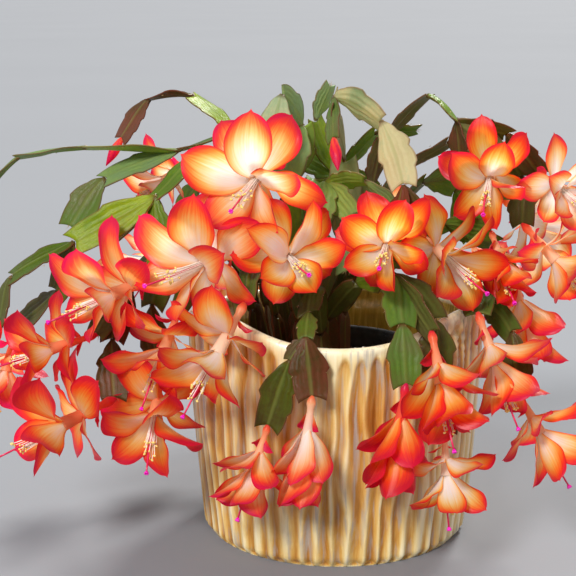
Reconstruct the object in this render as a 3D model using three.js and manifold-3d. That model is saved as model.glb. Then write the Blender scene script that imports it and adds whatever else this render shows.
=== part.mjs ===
// A potted christmas cactus: a fluted stoneware planter, a black plastic nursery pot standing in it, potting
// soil, arching stems of flat toothed segments, and the blooms at their tips.
// Millimetres, +Z up. The origin is the centre of the planter's foot, on the surface that it stands on.
// The photograph was taken from the -Y side, with +X to its right.

import * as THREE from 'three';
import { mergeVertices } from 'three/addons/utils/BufferGeometryUtils.js';
import Module from 'manifold-3d';

const wasm = await Module();
wasm.setup();

// Driving dimensions of the planter
const FOOT_RADIUS = 92;
const BELLY_RADIUS = 103;
const RIM_HEIGHT = 150;
const EAR_RISE = 17;
const EAR_ANGLES = [-35, -145];
const EAR_SPREAD = 28;
const RIM_ROUND = 3.5;
const WALL = 10;
const FLOOR = 8;
const FLUTES = 56;
const FLUTE_DEPTH = 3;
const FLUTE_TOP = 130;
const KNOT_RADIUS = 3;
const KNOT_ANGLE = -41;
const KNOT_HEIGHT = 156;
const KNOT_DEPTH = 4;

// Driving dimensions of the nursery pot and the soil
const NURSERY_CENTRE = [-6, 0];
const NURSERY_TOP_RADIUS = 66;
const NURSERY_FOOT_RADIUS = 50;
const NURSERY_HEIGHT = 119;
const NURSERY_WALL = 1.4;
const NURSERY_LIP = 3;
const DRAIN_HOLES = 4;
const DRAIN_HOLE_RADIUS = 4;
const DRAIN_CIRCLE = 34;
const SOIL_TOP = 114;
const GAP = 0.3;

// Driving dimensions of one stem segment
const SEGMENT_WIDTH = 25;
const SEGMENT_THICK = 2.6;
const SUNK = 1.6;
const ROOT_THICK = 0.5;
const ROOT_HALF = 1.2;
const STUB_RADIUS = 3.4;
const STUB_DEPTH = 12;
const WOODY_SEGMENTS = 2;
const SHARP_BEND = 85;

// Driving dimensions of one bloom
const TUBE_LENGTH = 34;
const PETAL_LENGTH = 37;
const PETAL_WIDTH = 28;
const PETAL_THICK = 1.2;
const PETAL_ROOM = 0.66;
const PETAL_TILT = 13;
const CUP = 0.32;
const BUD_LENGTH = 24;

const DEGREE = Math.PI / 180;
const UP = new THREE.Vector3(0, 0, 1);
const FRONT = new THREE.Vector3(0, -1, 0.3).normalize();

// Solids

function geometryOf(positions, indices) {
  const geometry = new THREE.BufferGeometry();
  geometry.setAttribute('position', new THREE.Float32BufferAttribute(positions, 3));
  geometry.setIndex(indices);
  return geometry;
}

// A closed mesh as a solid that can be joined and cut.
function solidOf(source) {
  const bare = source.clone();
  bare.deleteAttribute('normal');
  bare.deleteAttribute('uv');
  const merged = mergeVertices(bare, 1e-4);
  return new wasm.Manifold(new wasm.Mesh({
    numProp: 3,
    vertProperties: new Float32Array(merged.attributes.position.array),
    triVerts: new Uint32Array(merged.index.array),
  }));
}

function fuse(solids) {
  return solids.reduce((whole, next) => whole.add(next));
}

function geometryFrom(solid) {
  const mesh = solid.getMesh();
  return geometryOf(Array.from(mesh.vertProperties), Array.from(mesh.triVerts));
}

function named(name, geometry, color, roughness) {
  const mesh = new THREE.Mesh(geometry, new THREE.MeshStandardMaterial({ color, roughness, metalness: 0 }));
  mesh.name = name;
  return mesh;
}

// A skin over rings of equal point counts. A last ring of one point is a tip. With mirrored, every other
// strip takes the other diagonal, so that a thin four-pointed blade is split alike on both faces.
function loft(rings, mirrored = false) {
  const positions = rings.flat().flatMap((point) => [point.x, point.y, point.z]);
  const count = rings[0].length;
  const indices = [];
  for (let ring = 0; ring + 1 < rings.length; ring += 1) {
    const low = ring * count;
    const high = low + count;
    for (let side = 0; side < count; side += 1) {
      const next = (side + 1) % count;
      if (rings[ring + 1].length === 1) {
        indices.push(low + side, low + next, high);
      } else if (mirrored && side % 2 === 1) {
        indices.push(low + side, low + next, high + side, low + next, high + next, high + side);
      } else {
        indices.push(low + side, low + next, high + next, low + side, high + next, high + side);
      }
    }
  }
  for (let side = 1; side + 1 < count; side += 1) {
    indices.push(0, side + 1, side);
  }
  if (rings.at(-1).length === count) {
    const start = (rings.length - 1) * count;
    for (let side = 1; side + 1 < count; side += 1) {
      indices.push(start, start + side, start + side + 1);
    }
  }
  return geometryOf(positions, indices);
}

function ringAt(centre, across, over, radius, sides) {
  return Array.from({ length: sides }, (_, side) => {
    const angle = (2 * Math.PI * side) / sides;
    return centre.clone()
      .addScaledVector(across, radius * Math.cos(angle))
      .addScaledVector(over, radius * Math.sin(angle));
  });
}

// A fixed draw between -1 and 1 for a seed, so that repeats differ alike in every run.
function wobble(seed) {
  const value = Math.sin(seed * 12.9898 + 4.1414) * 43758.5453;
  return 2 * (value - Math.floor(value)) - 1;
}

// Planter

function hill(angle, centre, spread) {
  const away = ((((angle - centre) % 360) + 540) % 360) - 180;
  return Math.exp(-((away / spread) ** 2));
}

function rimHeight(angle) {
  return RIM_HEIGHT + EAR_RISE * EAR_ANGLES.reduce((sum, ear) => sum + hill(angle, ear, EAR_SPREAD), 0);
}

function planterRadius(z) {
  return FOOT_RADIUS + (BELLY_RADIUS - FOOT_RADIUS) * Math.sin((Math.PI / 2) * Math.min(1, z / RIM_HEIGHT));
}

// Two lines of points a flute: one in its valley, one on its rib.
function planterRing(z, depth, rise) {
  return Array.from({ length: FLUTES * 2 }, (_, line) => {
    const flute = Math.floor(line / 2);
    const angle = (360 / FLUTES) * (flute + 0.5 * (line % 2) + 0.18 * wobble(flute));
    const valley = line % 2 === 0 ? depth * (0.8 + 0.4 * wobble(flute + 90)) : 0;
    const radius = planterRadius(z) - valley;
    const height = z + rise * (rimHeight(angle) - RIM_HEIGHT);
    return new THREE.Vector3(
      radius * Math.cos(angle * DEGREE), radius * Math.sin(angle * DEGREE), height);
  });
}

function planter() {
  const rim = planterRing(RIM_HEIGHT, 0, 1).map((point) => {
    const scale = 1 - RIM_ROUND / Math.hypot(point.x, point.y);
    return new THREE.Vector3(point.x * scale, point.y * scale, point.z);
  });
  const body = solidOf(loft([
    planterRing(0, FLUTE_DEPTH, 0),
    planterRing(FLUTE_TOP, FLUTE_DEPTH, 0.7),
    planterRing(RIM_HEIGHT - 3, 0, 1),
    rim,
    [new THREE.Vector3(0, 0, RIM_HEIGHT)],
  ]));
  const top = RIM_HEIGHT + EAR_RISE + 10;
  const well = solidOf(new THREE.LatheGeometry([
    new THREE.Vector2(0, FLOOR),
    new THREE.Vector2(FOOT_RADIUS - WALL - 8, FLOOR),
    new THREE.Vector2(FOOT_RADIUS - WALL, FLOOR + 8),
    new THREE.Vector2(BELLY_RADIUS - WALL - 1, RIM_HEIGHT - 14),
    new THREE.Vector2(BELLY_RADIUS - WALL + 2, RIM_HEIGHT - 1),
    new THREE.Vector2(BELLY_RADIUS - WALL + 3, top),
    new THREE.Vector2(0, top),
  ], 32).rotateX(Math.PI / 2));
  return body.subtract(well).subtract(knothole());
}

// The blind knothole in the shoulder at the right.
function knothole() {
  const angle = KNOT_ANGLE * DEGREE;
  const out = new THREE.Vector3(Math.cos(angle), Math.sin(angle), 0);
  const across = new THREE.Vector3(-Math.sin(angle), Math.cos(angle), 0);
  const face = planterRadius(RIM_HEIGHT);
  return solidOf(loft([face - KNOT_DEPTH, face + KNOT_DEPTH].map((distance) => ringAt(
    out.clone().multiplyScalar(distance).setZ(KNOT_HEIGHT), across, UP, KNOT_RADIUS, 8))));
}

// Nursery pot and soil

function nurseryPot() {
  const inner = NURSERY_TOP_RADIUS - NURSERY_WALL;
  const shell = solidOf(new THREE.LatheGeometry([
    new THREE.Vector2(0, 0),
    new THREE.Vector2(NURSERY_FOOT_RADIUS, 0),
    new THREE.Vector2(NURSERY_TOP_RADIUS - 2, NURSERY_HEIGHT - 12),
    new THREE.Vector2(NURSERY_TOP_RADIUS + NURSERY_LIP, NURSERY_HEIGHT - 12),
    new THREE.Vector2(NURSERY_TOP_RADIUS + NURSERY_LIP, NURSERY_HEIGHT - 1.5),
    new THREE.Vector2(NURSERY_TOP_RADIUS + NURSERY_LIP - 1.5, NURSERY_HEIGHT),
    new THREE.Vector2(inner + 1, NURSERY_HEIGHT),
    new THREE.Vector2(inner - 2, NURSERY_HEIGHT - 12),
    new THREE.Vector2(NURSERY_FOOT_RADIUS - NURSERY_WALL, 2),
    new THREE.Vector2(0, 2),
  ], 20).rotateX(Math.PI / 2));
  const holes = Array.from({ length: DRAIN_HOLES }, (_, hole) => {
    const angle = (2 * Math.PI * hole) / DRAIN_HOLES;
    const drill = new THREE.CylinderGeometry(DRAIN_HOLE_RADIUS, DRAIN_HOLE_RADIUS, FLOOR, 6)
      .rotateX(Math.PI / 2);
    return solidOf(drill.translate(DRAIN_CIRCLE * Math.cos(angle), DRAIN_CIRCLE * Math.sin(angle), 1));
  });
  return holes.reduce((pot, hole) => pot.subtract(hole), shell)
    .translate([...NURSERY_CENTRE, FLOOR + GAP]);
}

function soil() {
  const low = FLOOR + GAP;
  const wall = NURSERY_TOP_RADIUS - 2 - NURSERY_WALL - (NURSERY_FOOT_RADIUS - NURSERY_WALL);
  const slope = wall / (NURSERY_HEIGHT - 14);
  const foot = NURSERY_FOOT_RADIUS - NURSERY_WALL - 2 * GAP;
  const edge = SOIL_TOP - 2;
  const mound = solidOf(new THREE.LatheGeometry([
    new THREE.Vector2(0, low + 2 + GAP),
    new THREE.Vector2(foot, low + 2 + GAP),
    new THREE.Vector2(foot + slope * (edge - low - 2.5), edge),
    new THREE.Vector2(foot - 12, SOIL_TOP),
    new THREE.Vector2(0, SOIL_TOP),
  ], 20).rotateX(Math.PI / 2)).translate([...NURSERY_CENTRE, 0]);
  return Object.values(STEMS).reduce((mass, runs) => {
    const [x, y] = runs[0][0];
    const radius = STUB_RADIUS + 1.5 * GAP;
    const depth = STUB_DEPTH + 8;
    const hole = new THREE.CylinderGeometry(radius, radius, depth, 4)
      .rotateX(Math.PI / 2).translate(x, y, SOIL_TOP - STUB_DEPTH - GAP + depth / 2);
    return mass.subtract(solidOf(hole));
  }, mound);
}

// Stems

// One side of a segment's outline after its narrow foot, up to the notch at its end: [along, out, rib].
// along is a share of its length, out a share of its half width, and rib the midrib point it fans from.
const TWO_TEETH = [
  [0.2, 0.55, 0],
  [0.37, 0.96, 1],
  [0.44, 0.82, 1],
  [0.68, 1.0, 1],
  [0.75, 0.84, 1],
  [1.05, 0.66, 1],
  [0.955, 0.2, 2],
];
const ONE_TOOTH = [
  [0.2, 0.55, 0],
  [0.52, 1.0, 1],
  [0.6, 0.84, 1],
  [1.05, 0.66, 1],
  [0.955, 0.2, 2],
];
const RIBS = [[0.7, 1], [0.955, 0.7]];
const WOODY = [
  [0.3, 0.55, 0],
  [0.8, 0.6, 1],
  [1, 0.25, 1],
];
const WOODY_RIBS = [[1, 1.5]];

// The curve and the facing of each segment of a run. A blade looks alike from both faces, so its face vector
// is taken on the side that twists least from the segment before.
function framesOf(run) {
  const joints = run.map(([x, y, z]) => new THREE.Vector3(x, y, z));
  let last = null;
  return joints.slice(1).map((end, index) => {
    const start = joints[index];
    const before = joints[Math.max(0, index - 1)];
    const after = joints[Math.min(joints.length - 1, index + 2)];
    const length = end.distanceTo(start);
    const lead = end.clone().sub(start).normalize();
    const startLead = end.clone().sub(before).normalize().add(lead).normalize();
    const endLead = after.clone().sub(start).normalize().add(lead).normalize();
    const curve = new THREE.CubicBezierCurve3(
      start,
      start.clone().addScaledVector(startLead, length / 3),
      end.clone().addScaledVector(endLead, -length / 3),
      end);
    const turn = run[index + 1][3] * DEGREE;
    const face = FRONT.clone().addScaledVector(lead, -FRONT.dot(lead)).normalize().applyAxisAngle(lead, turn);
    let bend = 0;
    if (last !== null) {
      const carried = last.face.clone()
        .applyQuaternion(new THREE.Quaternion().setFromUnitVectors(last.lead, lead));
      face.multiplyScalar(Math.sign(carried.dot(face)));
      bend = Math.max(lead.angleTo(last.lead), 0.8 * face.angleTo(carried)) / DEGREE;
    }
    last = { curve, length, lead, face, bend };
    return last;
  });
}

// The place and directions at a share of the segment's length; past the end it goes on straight.
function spotOn(frame, along, face = frame.face) {
  const inside = Math.min(1, along);
  const place = frame.curve.getPoint(inside);
  const lead = frame.curve.getTangent(inside);
  place.addScaledVector(lead, (along - inside) * frame.length);
  const side = new THREE.Vector3().crossVectors(lead, face).normalize();
  return { place, side, lead, face: new THREE.Vector3().crossVectors(side, lead).normalize() };
}

// A few segments as one thin blade: a ridge along the midrib on both faces, and a sharp toothed outline that
// both faces share. From the soil it starts as a square woody foot, elsewhere sunk into what it grows from.
function chainSolid(frames, seed, rooted) {
  const points = [];
  const ribs = [];
  const edges = { '1': [], '-1': [] };
  const put = (point) => points.push(point) - 1;
  const addRib = (spot, thick) => ribs.push([1, -1].map(
    (sign) => put(spot.place.clone().addScaledVector(spot.face, (sign * thick * SEGMENT_THICK) / 2))));
  const addEdge = (sign, spot, out, lift, rib) => edges[sign].push({
    rib,
    point: put(spot.place.clone().addScaledVector(spot.side, sign * out).addScaledVector(spot.face, lift)),
  });
  const first = spotOn(frames[0], 0);
  if (rooted) {
    [-STUB_DEPTH, 2].forEach((height) => {
      const foot = {
        place: first.place.clone().setZ(SOIL_TOP + height),
        side: new THREE.Vector3(1, 0, 0),
        face: new THREE.Vector3(0, -1, 0),
      };
      addRib(foot, (2 * STUB_RADIUS) / SEGMENT_THICK);
      [1, -1].forEach((sign) => addEdge(sign, foot, STUB_RADIUS, 0, ribs.length - 1));
    });
  } else {
    first.place.addScaledVector(first.lead, -SUNK);
    addRib(first, ROOT_THICK);
    [1, -1].forEach((sign) => addEdge(sign, first, ROOT_HALF, 0, 0));
  }
  let foot = first.place;
  frames.forEach((frame, index) => {
    const woody = rooted && index < WOODY_SEGMENTS;
    const next = index + 1 < frames.length ? frames[index + 1].face : frame.face;
    const half = (SEGMENT_WIDTH / 2) * Math.min(1, frame.length / 36) * (1 + 0.07 * wobble(seed + index));
    const bow = woody ? 0 : 1.2 * wobble(seed + index + 0.5);
    const base = ribs.length - 1;
    const bend = woody ? 0.6 : RIBS[0][0];
    const elbow = spotOn(frame, bend);
    const end = spotOn(frame, woody ? 1 : RIBS[1][0], frame.face.clone().add(next).normalize());
    // Flat up to the elbow and flat beyond it, so that both faces stay clear of each other.
    const spotAt = (along) => {
      const [low, high, share] = along <= bend
        ? [foot, elbow.place, along / bend]
        : [elbow.place, end.place, (along - bend) / (RIBS[1][0] - bend)];
      return { ...elbow, place: low.clone().lerp(high, share) };
    };
    (woody ? WOODY_RIBS : RIBS).forEach(([along, thick], order, all) => {
      addRib(order === all.length - 1 ? end : spotAt(along), thick);
    });
    [1, -1].forEach((sign) => {
      const toothed = sign * wobble(seed + index + 0.2) > 0.3 ? TWO_TEETH : ONE_TOOTH;
      const outline = woody ? WOODY : toothed;
      outline.slice(0, -1).forEach(([along, out, rib]) => {
        const lift = bow * out * Math.sin(Math.PI * Math.min(1, along));
        addEdge(sign, spotAt(along), out * half, lift, base + rib);
      });
      const [, out, rib] = outline.at(-1);
      addEdge(sign, end, out * half, 0, base + rib);
    });
    foot = end.place;
  });
  const indices = [];
  const triangle = (a, b, c, flip) => indices.push(...(flip ? [a, c, b] : [a, b, c]));
  [1, -1].forEach((sign) => [0, 1].forEach((face) => {
    const flip = (sign > 0) === (face === 1);
    edges[sign].slice(0, -1).forEach((edge, index) => {
      const next = edges[sign][index + 1];
      triangle(edge.point, next.point, ribs[edge.rib][face], flip);
      for (let rib = edge.rib; rib < next.rib; rib += 1) {
        triangle(ribs[rib][face], next.point, ribs[rib + 1][face], flip);
      }
    });
  }));
  [1, -1].forEach((sign) => {
    triangle(edges[sign][0].point, ribs[0][0], ribs[0][1], sign < 0);
    triangle(edges[sign].at(-1).point, ribs.at(-1)[1], ribs.at(-1)[0], sign < 0);
  });
  return solidOf(geometryOf(points.flatMap((point) => [point.x, point.y, point.z]), indices));
}

// A run is one blade as far as it bends gently. At a sharp bend or twist the next blade is sunk into it.
function stem(runs, number) {
  return fuse(runs.flatMap((run, which) => {
    const chains = [];
    framesOf(run).forEach((frame, index) => {
      if (index === 0 || frame.bend > SHARP_BEND) {
        chains.push({ frames: [], seed: number * 31 + which * 7 + index, rooted: which + index === 0 });
      }
      chains.at(-1).frames.push(frame);
    });
    return chains.map(({ frames, seed, rooted }) => chainSolid(frames, seed, rooted));
  }));
}

// Blooms

// Each tier: its place along the tube, which of the five sides bear a petal, how many rings a petal has, its
// length and width as shares of the largest, and its lean from the bloom's own axis at its foot and its tip.
const TIERS = [
  { along: 0.32, radius: 2.5, sides: [0, 2], marks: [], length: 0.3, width: 0, lean: 60, tipLean: 110 },
  { along: 0.64, radius: 3.4, sides: [0, 1, 2, 3], marks: [[0.34, 0.86], [0.68, 0.95]], length: 0.95,
    width: 0.95, lean: 50, tipLean: 92 },
  { along: 1.0, radius: 4.2, sides: [0, 1, 2, 3, 4], marks: [[0.34, 0.86], [0.68, 0.95]], length: 1, width: 1,
    lean: 32, tipLean: 64 },
];
const TIER_HEIGHT = 0.08;
const SIDES = 5;

// A bloom's tube starts just clear of the segment's end.
function bloomFrame(bloom) {
  const frame = framesOf(STEMS[bloom.stem][bloom.run]).at(-1);
  const axis = new THREE.Vector3(...bloom.axis).normalize();
  const { place, lead } = spotOn(frame, 0.955);
  const swing = Math.sin(axis.angleTo(lead));
  const start = place.addScaledVector(lead, 0.9 * bloom.size * swing + GAP + 0.05);
  const side = new THREE.Vector3().crossVectors(axis, UP).normalize();
  const over = new THREE.Vector3().crossVectors(axis, side).normalize();
  return { start, axis, side, over };
}

// One closed skin: the tube, the petals that grow from diamonds in it, and the stamens and style at its mouth.
function bloomSolid(bloom, number) {
  const { start, axis, side, over } = bloomFrame(bloom);
  const { size } = bloom;
  const points = [];
  const indices = [];
  const put = (point) => points.push(point) - 1;
  const at = (along) => start.clone().addScaledVector(axis, along * TUBE_LENGTH * size);
  const outAt = (turn) => {
    const angle = ((2 * Math.PI) / SIDES) * turn + (bloom.roll ?? 0) * DEGREE;
    return side.clone().multiplyScalar(Math.cos(angle)).addScaledVector(over, Math.sin(angle));
  };
  const ring = (along, radius, shift) => Array.from({ length: SIDES }, (_, index) => put(
    at(along).addScaledVector(outAt(index + shift), radius * size)));
  const band = (low, high) => low.forEach((point, index) => {
    const next = (index + 1) % SIDES;
    indices.push(point, low[next], high[next], point, high[next], high[index]);
  });
  let open = ring(0, 0.9, 0);
  for (let index = 1; index + 1 < SIDES; index += 1) {
    indices.push(open[0], open[index + 1], open[index]);
  }
  const grow = (along, radius, shift) => {
    const next = ring(along, radius, shift);
    band(open, next);
    open = next;
  };
  grow(0.14, 2.9, 0);
  TIERS.slice(bloom.tepals ? 0 : 1).forEach((tier, order) => {
    const shift = 0.5 * order;
    grow(tier.along - TIER_HEIGHT / 2, tier.radius, shift);
    const middle = ring(tier.along, tier.radius * 1.04, shift + 0.5);
    const high = ring(tier.along + TIER_HEIGHT / 2, tier.radius, shift);
    open.forEach((low, index) => {
      const next = (index + 1) % SIDES;
      const left = middle[(index + SIDES - 1) % SIDES];
      const right = middle[index];
      indices.push(low, open[next], right, high[index], right, high[next]);
      if (tier.sides.includes(index)) {
        addPetal([left, low, right, high[index]], tier, order, index, outAt(index + shift));
      } else {
        indices.push(left, low, right, left, right, high[index]);
      }
    });
    open = high;
  });
  if (bloom.stamens === false) {
    grow(1.12, 1.6, 1);
    fanTo(at(1.16));
  } else {
    grow(1.1, 1.3, 1);
    grow(1.66, 1.9, 1);
    fanTo(at(2.06));
  }

  function fanTo(tip) {
    const end = put(tip);
    open.forEach((point, index) => indices.push(point, open[(index + 1) % SIDES], end));
  }

  // A petal's ring is its left edge, its outer ridge, its right edge and its inner ridge. The strips on both
  // of its faces are split alike, and no petal is wider than the room that its side of the bloom leaves it.
  function addPetal(root, tier, order, index, out) {
    const seed = number * 17 + order * 5 + index;
    const length = PETAL_LENGTH * tier.length * size * (1 + 0.1 * wobble(seed + 0.3));
    const width = PETAL_WIDTH * tier.width * size * (1 + 0.06 * wobble(seed + 0.6));
    const lean = tier.lean * bloom.open;
    const tipLean = (tier.tipLean + 10 * wobble(seed + 0.9)) * bloom.open;
    const across = new THREE.Vector3().crossVectors(axis, out);
    const steps = 25;
    const place = at(tier.along).addScaledVector(out, tier.radius * size);
    let reach = tier.radius * size;
    let rim = root;
    let mark = 0;
    for (let step = 1; step <= steps; step += 1) {
      const along = step / steps;
      const angle = (lean + (tipLean - lean) * (along - 0.5 / steps)) * DEGREE;
      place.addScaledVector(axis, (Math.cos(angle) * length) / steps)
        .addScaledVector(out, (Math.sin(angle) * length) / steps);
      reach += (Math.sin(angle) * length) / steps;
      if (mark < tier.marks.length && along >= tier.marks[mark][0]) {
        const lead = axis.clone().multiplyScalar(Math.cos(angle)).addScaledVector(out, Math.sin(angle));
        const aside = across.clone().applyAxisAngle(lead, PETAL_TILT * DEGREE);
        const face = new THREE.Vector3().crossVectors(lead, aside);
        const half = Math.min((width / 2) * tier.marks[mark][1], PETAL_ROOM * reach);
        const next = [[-half, CUP * half], [0, -PETAL_THICK / 2], [half, CUP * half], [0, PETAL_THICK / 2]]
          .map(([over, lift]) => put(
            place.clone().addScaledVector(aside, over).addScaledVector(face, lift)));
        rim.forEach((point, corner) => {
          const after = (corner + 1) % 4;
          indices.push(...(corner % 2 === 0
            ? [point, rim[after], next[after], point, next[after], next[corner]]
            : [point, rim[after], next[corner], rim[after], next[after], next[corner]]));
        });
        rim = next;
        mark += 1;
      }
    }
    const tip = put(place);
    rim.forEach((point, corner) => indices.push(point, rim[(corner + 1) % 4], tip));
  }

  return solidOf(geometryOf(points.flatMap((point) => [point.x, point.y, point.z]), indices));
}

// A closed, pointed bud: rings of [along, radius].
const BUD_RINGS = [[0, 0.9], [0.1, 2.6], [0.5, 4.4], [0.82, 3]];

function budSolid(bud) {
  const { start, axis, side, over } = bloomFrame(bud);
  const at = (along) => start.clone().addScaledVector(axis, along * BUD_LENGTH * bud.size);
  const rings = BUD_RINGS.map(([along, radius]) => ringAt(at(along), side, over, radius * bud.size, SIDES));
  return solidOf(loft([...rings, [at(1.15)]]));
}

// Where the stems grow. Each stem is a list of runs; the first run starts in the soil, the others start at a
// joint of an earlier one. Each joint is [x, y, z, turn]: turn is the angle in degrees by which the broad face
// of the segment that ends there is turned from the front.
const STEMS = {
  stem_left_far: [
    [[-40, -2, SOIL_TOP], [-48, -2, 158, 75], [-56, 0, 204, 70], [-62, 2, 240, 60], [-66, 4, 275, 60],
      [-107, -10, 266, 80], [-168, -20, 269, 85], [-212, -25, 263, 88], [-238, -28, 236, 80]],
    [[-107, -10, 266], [-156, -22, 248, 45], [-179, -28, 216, 20]],
    [[-66, 4, 275], [-98, 10, 301, 60], [-128, 15, 298, 80], [-148, 12, 271, 50]],
    [[-62, 2, 240], [-100, 28, 256, 60]],
  ],
  stem_left_front: [
    [[-36, -28, SOIL_TOP], [-42, -30, 158, 60], [-50, -28, 204, 60], [-58, -18, 240, 60],
      [-88, -32, 267, 75], [-119, -55, 241, 60], [-172, -62, 212, 10], [-213, -60, 189, 55], [-222, -56, 159, 60]],
    [[-172, -62, 212], [-186, -46, 176, 30], [-217, -34, 148, 50]],
    [[-119, -55, 241], [-144, -48, 216, 50]],
    [[-119, -55, 241], [-115, -72, 192, 30]],
  ],
  stem_left_low: [
    [[-46, 16, SOIL_TOP], [-56, 12, 158, 70], [-76, -4, 196, 70], [-108, -30, 208, 70], [-138, -46, 184, 60],
      [-148, -62, 147, 20], [-146, -76, 111, 10]],
    [[-138, -46, 184], [-158, -70, 152, 40]],
    [[-108, -30, 208], [-124, -36, 164, 30], [-118, -48, 118, 30]],
  ],
  stem_front_a: [
    [[-26, -18, SOIL_TOP], [-28, -20, 158, 40], [-31, -16, 204, 40], [-28, -10, 246, 40], [-24, -12, 283, 30],
      [-37, -30, 304, 30], [-44, -46, 262, 10]],
    [[-24, -12, 283], [-34, -34, 250, 20]],
  ],
  stem_front_b: [
    [[-20, -44, SOIL_TOP], [-24, -48, 158, 30], [-32, -46, 202, 30], [-36, -46, 236, 40], [-62, -68, 208, 40]],
    [[-36, -46, 236], [-40, -64, 210, 50]],
  ],
  stem_front_c: [
    [[-54, -8, SOIL_TOP], [-58, -12, 158, 60], [-62, -20, 200, 60], [-72, -36, 222, 60], [-92, -54, 196, 60],
      [-103, -66, 170, 40]],
    [[-62, -20, 200], [-56, -62, 204, 70], [-60, -106, 181, 50]],
  ],
  stem_centre: [
    [[-10, -50, SOIL_TOP], [-12, -50, 150, 20], [-16, -60, 182, 30], [-20, -90, 172, 40], [-22, -108, 160, 10],
      [-18, -118, 124, 0]],
    [[-22, -108, 160], [-32, -110, 146, 15], [-46, -114, 104, 15]],
  ],
  stem_pale_right: [
    [[-14, -16, SOIL_TOP], [-12, -14, 158, 60], [2, -6, 204, 50], [5, -4, 259, 10], [-2, -18, 302, 70],
      [28, -44, 288, 60], [41, -62, 249, 15], [32, -74, 221, 55]],
    [[41, -62, 249], [49, -62, 226, 20]],
    [[-2, -18, 302], [-3, -34, 276, 60]],
  ],
  stem_right_arch: [
    [[-2, 4, SOIL_TOP], [-1, 4, 158, 40], [12, 4, 200, 40], [24, 4, 240, 40], [32, 0, 272, 50],
      [60, -12, 303, 80], [79, -20, 287, 100], [84, -12, 248, 70]],
    [[79, -20, 287], [114, -12, 277, 75], [138, -6, 250, 60]],
    [[79, -20, 287], [106, -10, 263, 30]],
  ],
  stem_right_back: [
    [[-6, 20, SOIL_TOP], [-4, 22, 158, 50], [14, 26, 200, 60], [40, 24, 242, 70], [78, 20, 268, 75],
      [108, 18, 270, 75], [130, 18, 244, 60], [130, 8, 212, 40]],
    [[108, 18, 270], [112, 4, 236, 50]],
  ],
  stem_right_mid: [
    [[-2, -11, SOIL_TOP], [0, -11, 158, 40], [26, -7, 202, 50], [72, -30, 220, 60], [102, -38, 215, 50]],
    [[72, -30, 220], [106, -20, 204, 60], [120, -24, 186, 60]],
  ],
  stem_shoulder: [
    [[4, -23, SOIL_TOP], [5, -23, 158, 60], [22, -28, 190, 60], [58, -30, 199, 60],
      [94, -37, 178, 60], [88, -84, 170, 20]],
    [[94, -37, 178], [114, -62, 152, 50], [116, -76, 116, 40]],
  ],
  stem_front_right: [
    [[-8, -35, SOIL_TOP], [-6, -38, 158, 20], [12, -62, 186, 20], [34, -86, 196, 0],
      [38, -107, 168, -20], [40, -118, 132, -10]],
    [[34, -86, 196], [57, -107, 163, 60]],
    [[34, -86, 196], [60, -90, 167, 30], [62, -94, 132, -10], [66, -106, 98, -20]],
  ],
  stem_crown: [
    [[-20, 14, SOIL_TOP], [-18, 16, 158, 30], [-8, 18, 204, 50], [2, 20, 244, 60], [28, 26, 274, 70],
      [58, 32, 276, 75]],
    [[2, 20, 244], [-14, 18, 284, 50], [-4, 22, 308, 60]],
    [[2, 20, 244], [-28, 22, 262, 30]],
  ],
  stem_inner: [
    [[-14, -2, SOIL_TOP], [-16, -4, 158, 30], [-14, -12, 204, 30], [-8, -24, 246, 30], [-14, -44, 222, 10],
      [-12, -56, 196, 10]],
    [[-8, -24, 246], [10, -40, 226, 40], [6, -52, 190, 30]],
    [[-8, -24, 246], [18, -40, 249, 70], [52, -54, 217, 70]],
  ],
  stem_back_left: [
    [[-30, 26, SOIL_TOP], [-36, 30, 158, 40], [-46, 40, 204, 40], [-66, 60, 236, 40], [-98, 82, 232, 40],
      [-116, 96, 196, 40]],
    [[-66, 60, 236], [-62, 98, 222, 30], [-64, 120, 184, 30]],
  ],
  stem_back_mid: [
    [[-18, 36, SOIL_TOP], [-16, 42, 158, 30], [-12, 52, 204, 30], [-12, 76, 234, 30], [-14, 110, 224, 30],
      [-16, 126, 186, 20]],
    [[-12, 76, 234], [16, 98, 240, 40], [34, 120, 210, 40]],
  ],
  stem_back_right: [
    [[-2, 38, SOIL_TOP], [4, 42, 158, 40], [32, 52, 200, 50], [66, 70, 234, 75], [92, 84, 226, 45],
      [106, 88, 188, 15]],
    [[66, 70, 234], [96, 58, 248, 80], [124, 56, 222, 80]],
  ],
};

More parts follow.
